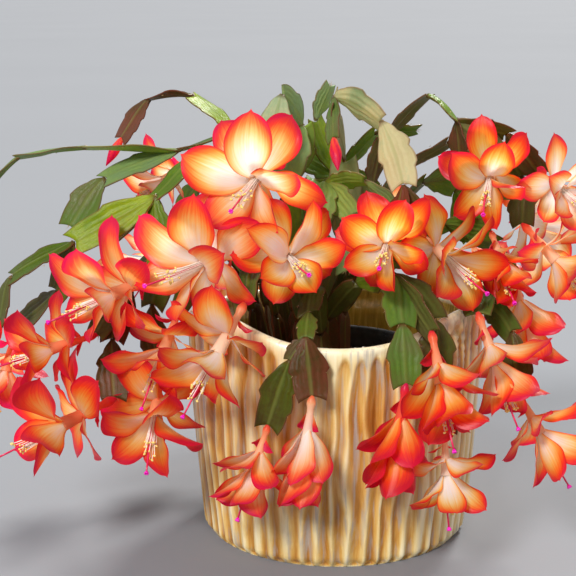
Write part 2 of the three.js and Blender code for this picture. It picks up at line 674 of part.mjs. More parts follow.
// The blooms: the stem and the run whose tip each grows from, the way it points, its size and how far its
// petals spread. A bloom may be rolled by some degrees, may have small tepals at the base of its tube, and may
// still be too closed to show its stamens.
const BLOOMS = {
  bloom_a: { stem: 'stem_front_a', run: 0, axis: [-0.25, -0.9, -0.2], size: 1.15, open: 1, roll: 90 },
  bloom_b: { stem: 'stem_front_b', run: 0, axis: [-0.65, -0.75, -0.1], size: 1.15, open: 1 },
  bloom_c: { stem: 'stem_front_b', run: 1, axis: [0.25, -0.9, -0.05], size: 0.95, open: 0.95 },
  bloom_d: { stem: 'stem_left_front', run: 3, axis: [-0.8, -0.5, -0.25], size: 1.05, open: 0.9 },
  bloom_e1: { stem: 'stem_front_c', run: 0, axis: [-0.32, -0.47, -0.8], size: 0.93, open: 1 },
  bloom_e2: { stem: 'stem_front_c', run: 1, axis: [-0.45, -0.45, -0.75], size: 1.05, open: 1, tepals: true },
  bloom_g: { stem: 'stem_left_low', run: 1, axis: [-0.85, -0.35, -0.2], size: 0.9, open: 0.9 },
  bloom_h: { stem: 'stem_left_low', run: 0, axis: [-0.8, -0.45, -0.3], size: 1.1, open: 1 },
  bloom_i: { stem: 'stem_left_front', run: 1, axis: [-0.2, -0.35, -0.9], size: 0.85, open: 0.9 },
  bloom_j: { stem: 'stem_left_low', run: 2, axis: [-0.05, -0.85, -0.55], size: 1.05, open: 0.9 },
  bloom_l: { stem: 'stem_left_far', run: 3, axis: [-0.75, -0.35, -0.5], size: 0.75, open: 0.8 },
  bloom_m: { stem: 'stem_left_front', run: 2, axis: [-0.3, -0.2, -0.9], size: 0.65, open: 0.3,
    stamens: false, tepals: true },
  bloom_n1: { stem: 'stem_right_arch', run: 2, axis: [-0.2, -0.85, -0.43], size: 0.9, open: 1 },
  bloom_n2: { stem: 'stem_right_arch', run: 1, axis: [0.4, -0.85, -0.3], size: 0.85, open: 0.9 },
  bloom_o: { stem: 'stem_inner', run: 2, axis: [0.5, -0.76, -0.36], size: 0.98, open: 0.95 },
  bloom_p: { stem: 'stem_pale_right', run: 0, axis: [-0.16, -0.95, -0.15], size: 0.86, open: 0.95 },
  bloom_q: { stem: 'stem_right_mid', run: 0, axis: [0.15, -0.8, -0.6], size: 0.8, open: 0.4 },
  bloom_q2: { stem: 'stem_right_back', run: 0, axis: [0.6, -0.45, -0.65], size: 1, open: 0.9 },
  bloom_r: { stem: 'stem_right_mid', run: 1, axis: [0.15, -0.25, -0.92], size: 0.95, open: 0.55,
    tepals: true },
  bloom_s: { stem: 'stem_front_right', run: 1, axis: [0.15, -0.55, -0.85], size: 1, open: 0.55,
    tepals: true },
  bloom_s2: { stem: 'stem_shoulder', run: 0, axis: [0.3, -0.35, -0.85], size: 1, open: 0.7, tepals: true },
  bloom_t: { stem: 'stem_shoulder', run: 1, axis: [0.45, -0.3, -0.8], size: 0.9, open: 0.8, tepals: true },
  bloom_u: { stem: 'stem_front_right', run: 0, axis: [-0.15, -0.1, -0.98], size: 0.95, open: 0.4,
    stamens: false, tepals: true },
  bloom_v: { stem: 'stem_front_right', run: 2, axis: [0.05, -0.2, -0.95], size: 0.8, open: 0.9,
    tepals: true },
  bloom_x: { stem: 'stem_centre', run: 0, axis: [-0.12, -0.15, -0.97], size: 0.95, open: 0.3,
    stamens: false, tepals: true },
  bloom_y: { stem: 'stem_centre', run: 1, axis: [-0.3, -0.2, -0.9], size: 0.8, open: 0.6, tepals: true },
  bloom_back_1: { stem: 'stem_back_left', run: 0, axis: [-0.5, 0.3, -0.8], size: 1, open: 0.9 },
  bloom_back_2: { stem: 'stem_back_left', run: 1, axis: [-0.3, 0.4, -0.9], size: 1, open: 0.9 },
  bloom_back_3: { stem: 'stem_back_mid', run: 0, axis: [0, 0.4, -0.9], size: 1, open: 0.8 },
  bloom_back_4: { stem: 'stem_back_mid', run: 1, axis: [0.2, 0.6, -0.7], size: 1, open: 0.9 },
  bloom_back_5: { stem: 'stem_back_right', run: 0, axis: [0.2, 0.4, -0.9], size: 1, open: 0.8 },
  bloom_back_6: { stem: 'stem_back_right', run: 1, axis: [0.7, 0.2, -0.6], size: 1, open: 0.9 },
};

// The closed buds at the tips of three more runs.
const BUDS = {
  bud_left: { stem: 'stem_left_far', run: 2, axis: [-0.5, -0.1, -0.85], size: 0.8 },
  bud_edge: { stem: 'stem_left_front', run: 0, axis: [-0.3, -0.3, -0.9], size: 0.9 },
  bud_top: { stem: 'stem_pale_right', run: 2, axis: [0.1, -0.6, -0.8], size: 0.9 },
};

// Colours from the photograph: glaucous where the light falls on a face, bright green where it falls through
// a segment, olive to reddish brown on the old ones.
const STEM_COLOURS = {
  stem_left_far: 0x93a56c, stem_left_front: 0x7d9a26, stem_left_low: 0x5d5a1e, stem_front_a: 0xa9b389,
  stem_front_b: 0x6a8a2a, stem_front_c: 0x5c7a22, stem_centre: 0x55501c, stem_pale_right: 0xc9c293,
  stem_right_arch: 0x6b6a35, stem_right_back: 0x6a5a30, stem_right_mid: 0x5f8030, stem_shoulder: 0x6d7434,
  stem_front_right: 0x5e6a28, stem_crown: 0x4c7a26, stem_inner: 0x9bb47c, stem_back_left: 0x6a8a2a,
  stem_back_mid: 0x5c7a22, stem_back_right: 0x74883a,
};

const cactus = new THREE.Group();
cactus.add(named('planter', geometryFrom(planter()), 0xd9b27c, 0.2));
cactus.add(named('nursery_pot', geometryFrom(nurseryPot()), 0x17181a, 0.35));
cactus.add(named('soil', geometryFrom(soil()), 0x3a281b, 0.95));
Object.entries(STEMS).forEach(([name, runs], number) => {
  cactus.add(named(name, geometryFrom(stem(runs, number)), STEM_COLOURS[name], 0.45));
});
Object.entries(BLOOMS).forEach(([name, bloom], number) => {
  cactus.add(named(name, geometryFrom(bloomSolid(bloom, number)), 0xff5a2a, 0.45));
});
Object.entries(BUDS).forEach(([name, bud]) => {
  cactus.add(named(name, geometryFrom(budSolid(bud)), 0xd9305a, 0.4));
});

export default cactus;
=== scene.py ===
# %% [markdown]
# A potted christmas cactus. A fluted stoneware planter holds a black nursery pot full of potting mix, and out
# of the mix arch chains of flat, toothed stem segments with large orange-red blooms at their tips.
# The lesson goes from the outside in: camera and light first, then the planter and the nursery pot, then the
# plant, segment by segment and petal by petal. Every part keeps the place that its plain solid has in the
# frame, and is made finer here. Shapes are in millimetres. The camera's place and the sizes of the patterns
# in the finishes are in metres, because the scene itself is.

import math

import bmesh
import bpy
import numpy as np
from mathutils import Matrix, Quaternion, Vector


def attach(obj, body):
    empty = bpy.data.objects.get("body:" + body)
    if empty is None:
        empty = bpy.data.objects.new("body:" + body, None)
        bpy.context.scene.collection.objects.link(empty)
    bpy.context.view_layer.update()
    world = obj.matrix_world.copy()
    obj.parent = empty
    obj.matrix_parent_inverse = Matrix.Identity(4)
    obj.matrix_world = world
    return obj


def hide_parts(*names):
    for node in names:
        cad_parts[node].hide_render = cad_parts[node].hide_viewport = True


MM_IN_A_METRE = 1000

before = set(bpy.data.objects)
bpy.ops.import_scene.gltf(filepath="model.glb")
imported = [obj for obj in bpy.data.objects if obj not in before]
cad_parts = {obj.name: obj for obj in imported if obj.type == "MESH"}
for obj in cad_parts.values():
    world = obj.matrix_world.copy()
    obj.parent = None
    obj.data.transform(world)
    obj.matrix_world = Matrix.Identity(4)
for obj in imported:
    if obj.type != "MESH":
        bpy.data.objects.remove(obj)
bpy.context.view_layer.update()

# %% [markdown]
# The camera stands in front of the planter and looks down at it by twelve degrees, as the photograph was
# taken. A lens of 90 mm from a metre away keeps the lines of the planter nearly parallel. The other choice is
# a wide lens close by, which would swell the front blooms more than the photograph does.

# %% Camera
CAMERA_PLACE = (-0.033, -0.978, 0.377)
CAMERA_DIP = 12
LENS = 90

lens = bpy.data.cameras.new("camera")
lens.lens = LENS
lens.sensor_width = 36
camera = bpy.data.objects.new("camera", lens)
camera.location = CAMERA_PLACE
camera.rotation_euler = (math.radians(90 - CAMERA_DIP), 0, 0)
bpy.context.scene.collection.objects.link(camera)
bpy.context.scene.camera = camera
print("Camera looks down by", CAMERA_DIP, "degrees")

# %% [markdown]
# Petals and young segments are thin enough to glow when light comes through them, so the light that matters
# most comes from behind and above the plant. A second, broader one from the front left shapes the glaze, and
# the pale surroundings fill the rest. Square lamps close by could do it, but they leave a bright patch on the
# floor. Lamps of the sun kind light all of it alike, and a wide angle makes them as soft as a studio's lamps.
# The standard view keeps reds and oranges strong; a film-like view would wash them out.

# %% Light
SURROUNDINGS_COLOUR = (0.97, 0.98, 1.0, 1.0)
SURROUNDINGS_STRENGTH = 0.62


def add_lamp(name, comes_from, strength, width, colour):
    """A soft lamp that shines from a direction. Its width is the angle that it fills, in degrees."""
    light = bpy.data.lights.new(name, "SUN")
    light.energy = strength
    light.angle = math.radians(width)
    light.color = colour
    lamp = bpy.data.objects.new(name, light)
    lamp.location = comes_from
    lamp.rotation_euler = Vector(comes_from).to_track_quat("Z", "Y").to_euler()
    bpy.context.scene.collection.objects.link(lamp)


add_lamp("front_left_lamp", (-0.36, -0.83, 0.66), strength=3.2, width=14, colour=(1.0, 0.98, 0.95))
add_lamp("back_lamp", (0.4, 0.8, 0.95), strength=4.4, width=12, colour=(1.0, 0.97, 0.9))

surroundings = bpy.data.worlds.new("pale_surroundings")
surroundings.use_nodes = True
sky = surroundings.node_tree.nodes["Background"]
sky.inputs["Color"].default_value = SURROUNDINGS_COLOUR
sky.inputs["Strength"].default_value = SURROUNDINGS_STRENGTH
bpy.context.scene.world = surroundings
bpy.context.scene.view_settings.view_transform = "Standard"

# %% [markdown]
# A few small helpers do the handwork. One turns a screen colour into the linear values that a shader wants.
# One adds a node with its settings and links, and short forms of it add the nodes that every finish uses. One
# makes a piece out of grids of points: a petal, a segment, a tube and a pot wall can all be laid out as rows
# and columns, which is simpler to steer than pushing vertices about, and keeps the faces even. Each grid also
# carries numbers on its points, such as how far along the petal a point lies, and the finishes read them.

# %% Colour
def linear(hex_colour):
    """A screen colour such as "ff8800" as linear red, green, blue and a full alpha."""
    channels = [int(hex_colour[i:i + 2], 16) / 255 for i in (0, 2, 4)]
    return [c / 12.92 if c <= 0.04045 else ((c + 0.055) / 1.055) ** 2.4 for c in channels] + [1.0]


print("Mid grey is", round(linear("808080")[0], 3))

# %% Nodes
def add_node(tree, kind, inputs=(), ramp=(), **settings):
    """Add a node. An input is a value, or another node's output that is linked to it."""
    node = tree.nodes.new("ShaderNode" + kind)
    for setting, value in settings.items():
        setattr(node, setting, value)
    for socket, value in dict(inputs).items():
        if isinstance(value, bpy.types.NodeSocket):
            tree.links.new(value, node.inputs[socket])
        else:
            node.inputs[socket].default_value = value
    for index, (place, hex_colour) in enumerate(ramp):
        stops = node.color_ramp.elements
        stop = stops[index] if index < 2 else stops.new(place)
        stop.position = place
        stop.color = linear(hex_colour)
    return node


def new_finish(name):
    """An empty node material and its tree."""
    finish = bpy.data.materials.new(name)
    finish.use_nodes = True
    finish.node_tree.nodes.clear()
    return finish, finish.node_tree


def finish_with(tree, shader):
    """Send a shader to the surface."""
    add_node(tree, "OutputMaterial", {"Surface": shader})


node_kinds = [kind for kind in dir(bpy.types) if kind.startswith("ShaderNode")]
print("Kinds of node to build finishes from:", len(node_kinds))

# %% Pieces from grids
WELD_DISTANCE = 2e-6


def grid_faces(rows, columns, around):
    """Four-cornered faces between the points of a grid. around closes each row on itself."""
    row = np.arange(rows - 1)[:, None] * columns
    column = np.arange(columns if around else columns - 1)[None, :]
    after = (column + 1) % columns
    corners = [row + column, row + after, row + columns + after, row + columns + column]
    return np.stack(corners, -1).reshape(-1, 4)


def sheet(grid, finish=0, around=False, **looks):
    """One grid of points in mm, the number of its finish, and the numbers its points carry."""
    return {"grid": np.asarray(grid, float), "finish": finish, "around": around, "looks": looks}


def make_piece(name, sheets, finishes, nodes=()):
    """Join grids into one mesh, weld the points that coincide, and put it in the place of CAD nodes."""
    names = sorted({key for part in sheets for key in part["looks"]})
    looks = {key: [] for key in names}
    points = []
    quads = []
    finish_of = []
    count = 0
    for part in sheets:
        rows, columns, _ = part["grid"].shape
        faces = grid_faces(rows, columns, part["around"])
        points.append(part["grid"].reshape(-1, 3) / MM_IN_A_METRE)
        quads.append(faces + count)
        finish_of.append(np.full(len(faces), part["finish"]))
        for key in names:
            value = np.broadcast_to(part["looks"].get(key, 0.0), (rows, columns))
            looks[key].append(value.reshape(-1))
        count += rows * columns
    mesh = bpy.data.meshes.new(name)
    mesh.from_pydata(np.concatenate(points).tolist(), [], np.concatenate(quads).tolist())
    for finish in finishes:
        mesh.materials.append(finish)
    mesh.polygons.foreach_set("material_index", np.concatenate(finish_of).astype(np.int32))
    for key in names:
        layer = mesh.attributes.new(key, "FLOAT", "POINT")
        layer.data.foreach_set("value", np.concatenate(looks[key]).astype(np.float32))
    welded = bmesh.new()
    welded.from_mesh(mesh)
    bmesh.ops.remove_doubles(welded, verts=welded.verts, dist=WELD_DISTANCE)
    bmesh.ops.recalc_face_normals(welded, faces=welded.faces)
    welded.to_mesh(mesh)
    welded.free()
    mesh.polygons.foreach_set("use_smooth", np.ones(len(mesh.polygons), bool))
    piece = bpy.data.objects.new(name, mesh)
    bpy.context.scene.collection.objects.link(piece)
    if nodes:
        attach(piece, "root")
        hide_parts(*nodes)
    return piece


def wobble(seed):
    """A fixed draw between -1 and 1, so that repeats differ alike in every run."""
    value = math.sin(seed * 12.9898 + 4.1414) * 43758.5453
    return 2 * (value - math.floor(value)) - 1


def smooth(low, high, value):
    """0 below low, 1 above high, and a soft step between."""
    share = np.clip((value - low) / (high - low), 0, 1)
    return share * share * (3 - 2 * share)


def ring_of(columns):
    """Even angles all round, in radians."""
    return np.arange(columns) * 2 * math.pi / columns


def laid_round(radius, height, turn):
    """A level ring of points about an upright axis."""
    return np.stack([radius * np.cos(turn), radius * np.sin(turn), height + 0 * turn], -1)


print("A grid of 3 by 4 points has", len(grid_faces(3, 4, False)), "faces")

# %% [markdown]
# The floor is painted board: flat, matt and pale, with a broad soft mottle from the roller. It only has to
# catch the shadow and throw light back up under the plant, so it is one even grid, and it reaches so far that
# its edge never shows.

# %% Floor
FLOOR_HALF = 40000
FLOOR_MOTTLE = 1.2

painted_board, tree = new_finish("matt_painted_board")
place = add_node(tree, "TexCoord").outputs["Object"]
mottle = add_node(tree, "TexNoise", {"Vector": place, "Scale": 1 / FLOOR_MOTTLE, "Detail": 3.0})
tone = add_node(tree, "ValToRGB", {"Fac": mottle.outputs["Fac"]}, [(0.3, "7a7d83"), (0.7, "7c7f85")])
paint = add_node(tree, "BsdfPrincipled", {
    "Base Color": tone.outputs["Color"], "Roughness": 0.85, "Specular IOR Level": 0.3})
finish_with(tree, paint.outputs["BSDF"])

edge = np.linspace(-FLOOR_HALF, FLOOR_HALF, 9)
east, north = np.meshgrid(edge, edge)
floor = make_piece("floor", [sheet(np.stack([east, north, 0 * east], -1))], [painted_board])
print("Floor is", 2 * FLOOR_HALF / MM_IN_A_METRE, "m across")

# %% [markdown]
# The planter is one piece of moulded stoneware, shaped like a fluted tree stump. Its clay was pressed in a
# mould, so the flutes wander a little and no two are alike. It could be a plain lathe form with a bump map,
# but the flutes make the outline and catch the glaze, so here they are real: one grid runs up the outside,
# over the rounded rim and down the inside to the floor of the well. The rim climbs to a shoulder on each
# side, and the right one has a small knothole with wrinkles that run round it like the grain of wood.

# %% Planter sizes
FOOT_RADIUS = 92
BELLY_RADIUS = 103
RIM_HEIGHT = 150
RIM_ROUND = 3.4
EAR_RISE = 17
EAR_ANGLES = (-35, -145)
EAR_SPREAD = 28
WALL = 10
WELL_FLOOR = 8
FLUTES = 56
FLUTE_DEPTH = 3
FLUTE_TOP = 142
KNOT_RADIUS = 3
KNOT_ANGLE = -41
KNOT_HEIGHT = 156
KNOT_DEPTH = 4


def degrees_from(angle, centre):
    """How far an angle lies from a centre, from -180 to 180 degrees."""
    return (angle - centre + 540) % 360 - 180


def hill(angle, centre, spread):
    """A soft hill of height 1 around an angle, in degrees."""
    return np.exp(-(degrees_from(angle, centre) / spread) ** 2)


def rim_rise(angle):
    """How far the rim stands above its lowest height."""
    return EAR_RISE * sum(hill(angle, ear, EAR_SPREAD) for ear in EAR_ANGLES)


def planter_radius(z):
    """The planter's radius at a height, before the flutes are cut into it."""
    return FOOT_RADIUS + (BELLY_RADIUS - FOOT_RADIUS) * np.sin(math.pi / 2 * np.minimum(1, z / RIM_HEIGHT))


print("Rim from", RIM_HEIGHT, "to", round(RIM_HEIGHT + float(rim_rise(-35.0)), 1), "mm")

# %% Flutes
FLUTE_SHIFT = 0.24
FLUTE_DEPTHS = (0.75, 0.45)
FLUTE_WIDTHS = (1, 0.45)
turns = np.arange(-2, FLUTES + 3)


def drawn(usual, reach, seed):
    """A number drawn for each flute, within a reach of the usual one."""
    return np.array([usual + reach * wobble(int(turn) % FLUTES + seed) for turn in turns])


flute_depth = FLUTE_DEPTH * drawn(*FLUTE_DEPTHS, 90)
flute_wide = drawn(*FLUTE_WIDTHS, 300)
valley_angles = 360 / FLUTES * (turns + drawn(0, FLUTE_SHIFT, 0))


def groove(angle, z):
    """Depth of the flutes at an angle and height, and how deep in a valley the point lies, from 0 to 1."""
    wander = 1.1 * np.sin(z / 23 + 5 * np.sin(angle / 17)) + 0.6 * np.sin(z / 9 + angle / 7)
    at = (angle + wander * smooth(0, 60, z) + 360) % 360
    phase = np.interp(at, valley_angles, turns.astype(float))
    share = phase - np.floor(phase)
    depth = np.interp(at, valley_angles, flute_depth)
    wide = np.interp(at, valley_angles, flute_wide)
    valley = np.abs(np.cos(math.pi * share)) ** (1.9 * wide)
    arch = 7 * (1 - valley) + 2 * np.interp(at, valley_angles, np.cos(3.1 * turns))
    top = FLUTE_TOP + 4 - arch + 0.85 * rim_rise(angle)
    fade = 1 - smooth(top - 7, top, z)
    return depth * valley * fade, valley * fade


print("Flutes are", round(2 * math.pi * BELLY_RADIUS / FLUTES, 1), "mm apart")

# %% Planter wall
PLANTER_COLUMNS = 720
WALL_ROWS = 66
GLAZE_LOOKS = ("valley", "band", "inside")
FOOT_EDGE = 4
FOOT_TUCK = 3
WAVE_ROOM = 0.4
MM_PER_DEGREE = 1.8
WRINKLE_DEPTH = 0.8
WRINKLE_REACH = 26
RIM_INNER_RADIUS = BELLY_RADIUS - WALL + 2.6
LIP_STEPS = ((7, 0.4), (12, 1.6), (14, 3.6))
WELL_ROUND = 8
WELL_FLARE = 1 / 12


def planter_wall():
    """Rows from the foot up the outside, over the rim and down the inside to the middle of the floor."""
    angle = np.arange(PLANTER_COLUMNS) * 360 / PLANTER_COLUMNS
    turn = np.radians(angle)
    rise = rim_rise(angle)
    # Painted light: the glaze round the right shoulder is made paler, as though more light fell on it there.
    painted_light_on_shoulder = 0.6 * hill(angle, EAR_ANGLES[0], 30)
    rows = []
    looks = []

    def lay(radius, height, **look):
        rows.append(laid_round(radius, height, turn))
        looks.append({key: look.get(key, 0) + 0 * angle for key in GLAZE_LOOKS})

    lay(0, 0)
    lay(FOOT_RADIUS - 3 * FOOT_EDGE, 0)
    lay(FOOT_RADIUS - FOOT_EDGE, 0)
    for z in np.concatenate([[0.8, 2.5], np.linspace(5, RIM_HEIGHT - 4, WALL_ROWS)]):
        height = z + rise * smooth(40, RIM_HEIGHT, z)
        deep, valley = groove(angle, height)
        tuck = FOOT_TUCK * (1 - smooth(0, 5, z))
        away = np.hypot(degrees_from(angle, KNOT_ANGLE) * MM_PER_DEGREE, height - KNOT_HEIGHT)
        rings = np.sin(away * 1.15 + 1.5 * np.sin(angle / 5))
        wrinkle = rings * np.exp(-(away / WRINKLE_REACH) ** 2) * WRINKLE_DEPTH
        knothole = KNOT_DEPTH * np.exp(-(away / (KNOT_RADIUS * 1.1)) ** 4)
        sag = 0.35 * np.sin(angle / 9 + z / 31) + 0.25 * np.sin(angle / 4.1 - z / 17)
        rim_band = smooth(FLUTE_TOP - 4, RIM_HEIGHT, z + 2 * np.sin(angle / 11))
        lay(planter_radius(z) - deep - tuck + wrinkle - knothole - WAVE_ROOM + sag, height,
            valley=valley, band=np.maximum(rim_band, painted_light_on_shoulder))
    outer = BELLY_RADIUS - WAVE_ROOM
    for share in np.linspace(0.1, 1, 9):
        swing = math.pi * share
        radius = (outer + RIM_INNER_RADIUS) / 2 + (outer - RIM_INNER_RADIUS) / 2 * math.cos(swing)
        lay(radius, RIM_HEIGHT - 3 + rise + RIM_ROUND * math.sin(swing), band=1, inside=smooth(0.6, 1, share))
    for drop, inset in LIP_STEPS:
        z = RIM_HEIGHT - drop
        lay(RIM_INNER_RADIUS - inset, z + rise * smooth(90, RIM_HEIGHT, z), band=0.3, inside=1)
    for z in np.linspace(RIM_HEIGHT - 20, WELL_FLOOR + WELL_ROUND, 16):
        radius = FOOT_RADIUS - WALL + (z - WELL_FLOOR - WELL_ROUND) * WELL_FLARE
        lay(radius + 0.25 * np.sin(angle / 3.3), z + rise * smooth(90, RIM_HEIGHT, z), inside=1)
    lay(FOOT_RADIUS - WALL - 3, WELL_FLOOR + 2, inside=1)
    lay(FOOT_RADIUS - WALL - 9, WELL_FLOOR, inside=1)
    lay(FOOT_RADIUS / 2, WELL_FLOOR, inside=1)
    lay(0, WELL_FLOOR)
    numbers = {key: np.stack([look[key] for look in looks]) for key in GLAZE_LOOKS}
    return sheet(np.stack(rows), 0, True, **numbers)


wall = planter_wall()
print("Planter grid:", wall["grid"].shape[:2])

# %% [markdown]
# The finish is a reactive glaze on stoneware, brushed on and fired. A thick runny glaze pulls away from the
# ribs, which stay cream, and pools in the valleys, where it breaks to amber and brown. Iron and titanium in
# it leave thin bluish-grey runs. To the eye that is a glassy surface with streaks that all run downwards.
# The streaks come from noise that is stretched along the height: about 3 mm wide and 60 mm long.

# %% Reactive glaze
STREAK_WIDTH = 0.003
STREAK_LENGTH = 0.06
RUN_WIDTH = 0.004
RUN_LENGTH = 0.05
SPECK = 0.0012


def reactive_glaze():
    finish, tree = new_finish("reactive_stoneware_glaze")
    place = add_node(tree, "TexCoord").outputs["Object"]
    valley = add_node(tree, "Attribute", attribute_name="valley").outputs["Fac"]
    band = add_node(tree, "Attribute", attribute_name="band").outputs["Fac"]
    inside = add_node(tree, "Attribute", attribute_name="inside").outputs["Fac"]
    drawn_out = add_node(tree, "Mapping", {
        "Vector": place, "Scale": (1 / STREAK_WIDTH, 1 / STREAK_WIDTH, 1 / STREAK_LENGTH)})
    streaks = add_node(tree, "TexNoise", {
        "Vector": drawn_out.outputs["Vector"], "Scale": 1.0, "Detail": 4.0, "Roughness": 0.6})
    broad = add_node(tree, "Mapping", {
        "Vector": place, "Scale": (1 / (6 * STREAK_WIDTH), 1 / (6 * STREAK_WIDTH), 1 / STREAK_LENGTH)})
    pools = add_node(tree, "TexNoise", {"Vector": broad.outputs["Vector"], "Scale": 1.0, "Detail": 2.0})
    specks = add_node(tree, "TexNoise", {"Vector": place, "Scale": 1 / SPECK, "Detail": 2.0})
    pooled = add_node(tree, "Math", {0: valley, 1: 0.34, 2: -0.14}, operation="MULTIPLY_ADD")
    wavering = add_node(tree, "Math", {0: streaks.outputs["Fac"], 1: 0.5, 2: pooled.outputs[0]},
                        operation="MULTIPLY_ADD")
    depth = add_node(tree, "Math", {0: pools.outputs["Fac"], 1: 0.75, 2: wavering.outputs[0]},
                     operation="MULTIPLY_ADD")
    # This number lightens the glaze: on the rim it is the real thin glaze, and on the right shoulder it is
    # painted light.
    thinned = add_node(tree, "Math", {0: band, 1: -0.22, 2: depth.outputs[0]}, operation="MULTIPLY_ADD")
    body = add_node(tree, "ValToRGB", {"Fac": thinned.outputs[0]}, [
        (0.25, "f4e9c6"), (0.42, "ead7a2"), (0.55, "ddbd78"), (0.68, "ca994a"),
        (0.84, "ad752b"), (1.0, "86521c")])
    runs = add_node(tree, "Mapping", {
        "Vector": place, "Location": (3.1, 1.7, 0), "Scale": (1 / RUN_WIDTH, 1 / RUN_WIDTH, 1 / RUN_LENGTH)})
    grey = add_node(tree, "TexNoise", {"Vector": runs.outputs["Vector"], "Scale": 1.0, "Detail": 3.0})
    grey_share = add_node(tree, "MapRange", {
        "Value": grey.outputs["Fac"], "From Min": 0.53, "From Max": 0.7, "To Min": 0.0, "To Max": 0.75})
    greyed = add_node(tree, "Mix", {0: grey_share.outputs[0], 6: body.outputs["Color"], 7: linear("aaa49c")},
                      data_type="RGBA")
    ochre = add_node(tree, "ValToRGB", {"Fac": streaks.outputs["Fac"]}, [
        (0.3, "80671d"), (0.5, "a3822a"), (0.7, "cca546")])
    all_over = add_node(tree, "Mix", {0: inside, 6: greyed.outputs[2], 7: ochre.outputs["Color"]},
                        data_type="RGBA")
    wet = add_node(tree, "MapRange", {
        "Value": specks.outputs["Fac"], "From Min": 0.3, "From Max": 0.7, "To Min": 0.16, "To Max": 0.26})
    skin = add_node(tree, "Math", {0: streaks.outputs["Fac"], 1: 0.6, 2: specks.outputs["Fac"]},
                    operation="MULTIPLY_ADD")
    relief = add_node(tree, "Bump", {"Height": skin.outputs[0], "Strength": 0.35, "Distance": 0.0004})
    glass = add_node(tree, "BsdfPrincipled", {
        "Base Color": all_over.outputs[2], "Roughness": wet.outputs[0], "IOR": 1.52,
        "Coat Weight": 0.5, "Coat Roughness": 0.08, "Normal": relief.outputs["Normal"]})
    finish_with(tree, glass.outputs["BSDF"])
    return finish


planter = make_piece("planter_glazed", [wall], [reactive_glaze()], ["planter"])
print("Planter faces:", len(planter.data.polygons))

# %% [markdown]
# The nursery pot is the thin black pot that the plant was sold in. It is vacuum formed or injection moulded
# polypropylene, so it has a rolled rim, a smooth glossy skin and fine rings left by the tool. A lathe form
# is the honest way to make it: one profile turned around the pot's axis, with the wall 1.4 mm thick.

# %% Nursery pot
NURSERY_CENTRE = (-6, 0)
NURSERY_TOP_RADIUS = 66
NURSERY_FOOT_RADIUS = 50
NURSERY_HEIGHT = 119
NURSERY_WALL = 1.4
NURSERY_LIP = 3
NURSERY_COLUMNS = 160
CORNER_REACH = 1.6
GAP = 0.3


def rounded(corners, reach, steps=4):
    """Round the corners of a profile: each becomes a short curve that starts and ends a reach away."""
    path = [corners[0]]
    for before, corner, after in zip(corners, corners[1:], corners[2:]):
        before, corner, after = (np.array(point, float) for point in (before, corner, after))
        back = min(reach, np.linalg.norm(before - corner) / 2.1)
        on = min(reach, np.linalg.norm(after - corner) / 2.1)
        start = corner + (before - corner) / np.linalg.norm(before - corner) * back
        end = corner + (after - corner) / np.linalg.norm(after - corner) * on
        for share in np.linspace(0, 1, steps):
            path.append((1 - share) ** 2 * start + 2 * share * (1 - share) * corner + share ** 2 * end)
    path.append(corners[-1])
    return path


inner_top = NURSERY_TOP_RADIUS - NURSERY_WALL
lip = NURSERY_TOP_RADIUS + NURSERY_LIP
pot_profile = rounded([
    (0, 2), (0.1, 0.6), (NURSERY_FOOT_RADIUS - 6, 0), (NURSERY_FOOT_RADIUS, 1),
    (NURSERY_TOP_RADIUS - 2, NURSERY_HEIGHT - 13), (lip, NURSERY_HEIGHT - 12), (lip, NURSERY_HEIGHT),
    (inner_top + 0.6, NURSERY_HEIGHT), (inner_top - 2, NURSERY_HEIGHT - 12),
    (NURSERY_FOOT_RADIUS - NURSERY_WALL, 2), (0, 2)], CORNER_REACH)
pot_grid = np.stack([laid_round(radius, height, ring_of(NURSERY_COLUMNS)) for radius, height in pot_profile])
pot_grid = pot_grid + [*NURSERY_CENTRE, WELL_FLOOR + GAP]
print("Points on the pot's profile:", len(pot_profile))

# %% Black polypropylene
TOOL_RING = 0.00296
WAVES_AT_SCALE_1 = 20 / (2 * math.pi)
DUST = 0.006


def black_polypropylene():
    finish, tree = new_finish("moulded_black_polypropylene")
    place = add_node(tree, "TexCoord").outputs["Object"]
    dust = add_node(tree, "TexNoise", {"Vector": place, "Scale": 1 / DUST, "Detail": 5.0})
    rings = add_node(tree, "TexWave", {
        "Vector": place, "Scale": 1 / TOOL_RING / WAVES_AT_SCALE_1, "Distortion": 0.4},
        wave_type="BANDS", bands_direction="Z")
    tint = add_node(tree, "ValToRGB", {"Fac": dust.outputs["Fac"]}, [(0.45, "0b0c0d"), (0.75, "2a2723")])
    rough = add_node(tree, "MapRange", {
        "Value": dust.outputs["Fac"], "From Min": 0.3, "From Max": 0.7, "To Min": 0.22, "To Max": 0.42})
    relief = add_node(tree, "Bump", {"Height": rings.outputs["Fac"], "Strength": 0.25, "Distance": 0.0001})
    plastic = add_node(tree, "BsdfPrincipled", {
        "Base Color": tint.outputs["Color"], "Roughness": rough.outputs[0], "IOR": 1.49,
        "Normal": relief.outputs["Normal"]})
    finish_with(tree, plastic.outputs["BSDF"])
    return finish


nursery = make_piece("nursery_pot_moulded", [sheet(pot_grid, 0, True)], [black_polypropylene()],
                     ["nursery_pot"])
print("Nursery pot faces:", len(nursery.data.polygons))

# %% [markdown]
# Threads, bristles, stem feet and cutting tools are all tubes, so one helper lays a round skin along any
# path. It carries a side direction from ring to ring, so that the skin doesn't twist.

# %% Tubes
def unit(vectors):
    """Vectors of the same directions and a length of 1."""
    return vectors / np.linalg.norm(vectors, axis=-1, keepdims=True)


